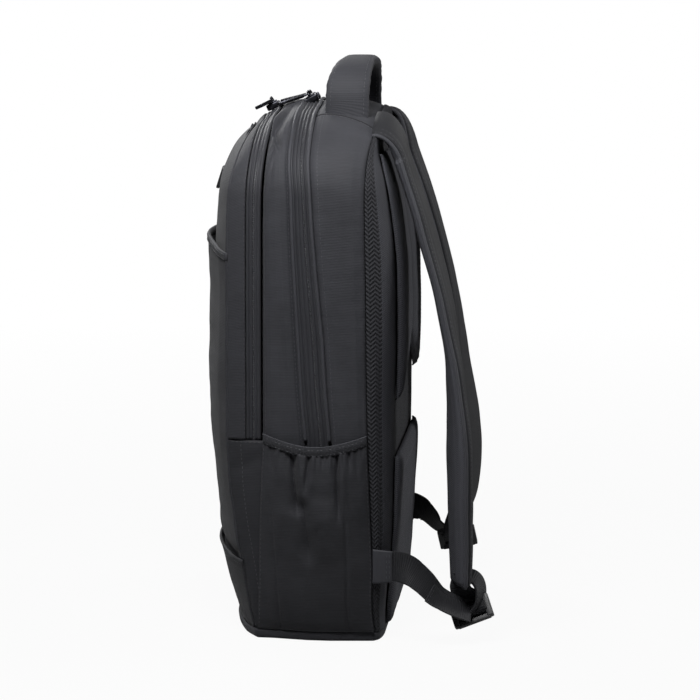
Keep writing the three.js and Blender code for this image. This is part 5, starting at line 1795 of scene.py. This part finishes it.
def wing(word):
    side = 1 if word == "right" else -1
    start = wing_place(side) + [0, -0.3, 0]
    share = np.linspace(0, 1, 24)
    path = start + np.outer(share, [0, WING_LENGTH, 0])
    path[:, 0] += side * 1.0 * np.sin(share * math.pi)
    wide = np.broadcast_to([0, 0, 1.0], path.shape)
    out = np.broadcast_to([side, 0, 0.0], path.shape)
    width = WING_TALL * (1.08 - 0.12 * share)
    ribbon(f"wing_cloth_{word}", path, wide, out, width, 2.6, "cloth", f"wing_{word}", PIPING_CLOTH)
    for at in (0.72, 0.86):
        spot = start + [side * (1.4 + math.sin(at * math.pi)), WING_LENGTH * at, 0]
        line = spot + np.outer(np.linspace(-11, 11, 10), [0, 0, 1.0])
        seams.append((line, np.broadcast_to([side, 0, 0.0], line.shape)))


for word in ("right", "left"):
    dress_webbing(word)
    dress_stub(word)
    dress_lock(word)
    wing(word)


# Metal and plastic fittings

rounded_copy("front_tab_plate", "front_tab", LOCK_PLASTIC, "plastic", 0.6)


def link(name, centre, first, second, size, wire):
    angles = np.linspace(0, TURN, 33)
    path = centre + np.outer(np.cos(angles), first) * size[0] / 2
    path = path + np.outer(np.sin(angles), second) * size[1] / 2
    normal = np.cross(first, second)
    settle(tube(name, path, normal, wire, wire, GUNMETAL, 8), "metal")


# Length, width and height of a slider's body and plate, and of its pull's plate
SLIDER_BODY = (14, 13, 5.6)
SLIDER_PLATE = (12, 8, 2.2)
PULL_PLATE = (23, 7, 3.0)
SLIDER_SEAT = 4.6


def slider(suffix, tape, normals, slot_share, pull_way):
    """Zip slider with its bridge, link and pull."""
    low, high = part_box(f"slider_{suffix}")
    middle = np.array((low + high) / 2) / MM
    path, up = row_at(tape, normals, slot_share)
    at = int(np.argmin(np.linalg.norm(path - middle, axis=1)))
    along, up, side = (v[at] for v in frames_along(path, up))
    seat = path[at] + up * SLIDER_SEAT
    axes = (along, side, up)
    body, plate = f"slider_body_{suffix}", f"slider_plate_{suffix}"
    rounded_block(body, seat, axes, SLIDER_BODY, 0.2, 1.4, GUNMETAL, "metal", f"slider_{suffix}")
    rounded_block(plate, seat + up * 3.0, axes, SLIDER_PLATE, 0.2, 0.8, GUNMETAL, "metal")
    front = seat + up * 4.4
    link(f"slider_bridge_{suffix}", front, along, up, (11, 6), 2.2)
    way = unit(np.array(pull_way))
    over = unit(up - way * (up * way).sum())
    cross_way = np.cross(over, way)
    link(f"pull_link_{suffix}", front + up * 0.6 + way * 3.5, way, cross_way, (8, 5), 1.3)
    pull_middle = front + up * 0.4 + way * 17
    axes = (way, cross_way, over)
    pull = f"pull_plate_{suffix}"
    rounded_block(pull, pull_middle, axes, PULL_PLATE, -0.15, 1.1, GUNMETAL, "metal", f"pull_{suffix}")


slider("main_right", main_tape, main_tape_normals, 0.6, (0.3, -0.93, -0.3))
slider("main_left", main_tape, main_tape_normals, 0.6, (-0.3, -0.93, -0.24))
slider("front", front_tape, front_tape_normals, 0.5, (0.93, -0.3, -0.16))


# Stitching

half_way = len(seams) // 2
for index, lines in enumerate((seams[:half_way], seams[half_way:])):
    thread = stitching(f"stitching_{index + 1}", lines, THREAD)
    settle(thread, "cloth")


# Floor, light and camera

def stage_material(name, colour, glow):
    material = bpy.data.materials.new(name)
    material.use_nodes = True
    w = Wiring(material.node_tree)
    shader = material.node_tree.nodes["Principled BSDF"]
    shader.inputs["Base Color"].default_value = colour
    shader.inputs["Roughness"].default_value = 0.9
    bright = w.node("ShaderNodeEmission")
    bright.inputs["Color"].default_value = (1, 1, 1, 1)
    bright.inputs["Strength"].default_value = 1.0
    path = w.node("ShaderNodeLightPath")
    spot = w.node("ShaderNodeTexCoord")
    distance = w.node("ShaderNodeVectorMath", operation="LENGTH")
    w.feed(distance.inputs[0], spot.outputs["Object"])
    fade = w.ranged(distance.outputs["Value"], 0.6, 2.2, glow, 1)
    mix = w.node("ShaderNodeMixShader")
    w.feed(mix.inputs[0], w.math("MULTIPLY", path.outputs["Is Camera Ray"], fade))
    w.feed(mix.inputs[1], shader.outputs[0])
    w.feed(mix.inputs[2], bright.outputs[0])
    w.feed(material.node_tree.nodes["Material Output"].inputs["Surface"], mix.outputs[0])
    return material


floor_mesh = bpy.data.meshes.new("floor")
FLOOR = 14
floor_corners = [(-FLOOR, -FLOOR, 0), (FLOOR, -FLOOR, 0), (FLOOR, FLOOR, 0), (-FLOOR, FLOOR, 0)]
floor_mesh.from_pydata(floor_corners, [], [(0, 1, 2, 3)])
floor_mesh.materials.append(stage_material("pale_floor", (0.35, 0.35, 0.35, 1), 0.94))
floor = bpy.data.objects.new("floor", floor_mesh)
bpy.context.scene.collection.objects.link(floor)

world = bpy.data.worlds.new("studio")
bpy.context.scene.world = world
world.use_nodes = True
w = Wiring(world.node_tree)
background = world.node_tree.nodes["Background"]
light_path = w.node("ShaderNodeLightPath")
strength = w.math("ADD", w.math("MULTIPLY", light_path.outputs["Is Camera Ray"], 0.96), 0.04)
background.inputs["Color"].default_value = (1, 1, 1, 1)
w.feed(background.inputs["Strength"], strength)


def soft_light(name, spot, aim, size, power):
    data = bpy.data.lights.new(name, "AREA")
    data.shape = "DISK"
    data.size = size
    data.energy = power
    lamp = bpy.data.objects.new(name, data)
    lamp.location = spot
    lamp.rotation_mode = "QUATERNION"
    lamp.rotation_quaternion = (Vector(aim) - Vector(spot)).to_track_quat("-Z", "Y")
    bpy.context.scene.collection.objects.link(lamp)


soft_light("top_light", (0.56, -0.1, 0.98), (0.12, 0, 0.42), 0.5, 12)
soft_light("front_light", (0.4, -1.8, 1.3), (0, 0, 0.3), 0.9, 3.5)
soft_light("rear_light", (-0.5, 1.8, 1.1), (0, 0, 0.25), 0.9, 22)
soft_light("far_light", (-1.5, -0.8, 1.2), (0, 0, 0.25), 0.9, 16)

AZIMUTH = math.radians(95)
ELEVATION = math.radians(7)
DISTANCE = 2.6
PIXELS_PER_METRE = 1150
FRAME_PIXELS = 700
TARGET = Vector((0, 0.0003, 0.227))
camera_data = bpy.data.cameras.new("camera")
camera_data.sensor_width = 36
camera_data.lens = 36 * PIXELS_PER_METRE * DISTANCE / FRAME_PIXELS
camera_data.shift_x = 15 / FRAME_PIXELS
camera_data.clip_end = 100
camera = bpy.data.objects.new("camera", camera_data)
back_way = Vector(
    (
        math.sin(AZIMUTH) * math.cos(ELEVATION),
        -math.cos(AZIMUTH) * math.cos(ELEVATION),
        math.sin(ELEVATION),
    )
)
camera.location = TARGET + back_way * DISTANCE
camera.rotation_mode = "QUATERNION"
camera.rotation_quaternion = (-back_way).to_track_quat("-Z", "Y")
bpy.context.scene.collection.objects.link(camera)
bpy.context.scene.camera = camera
bpy.context.scene.view_settings.view_transform = "Standard"
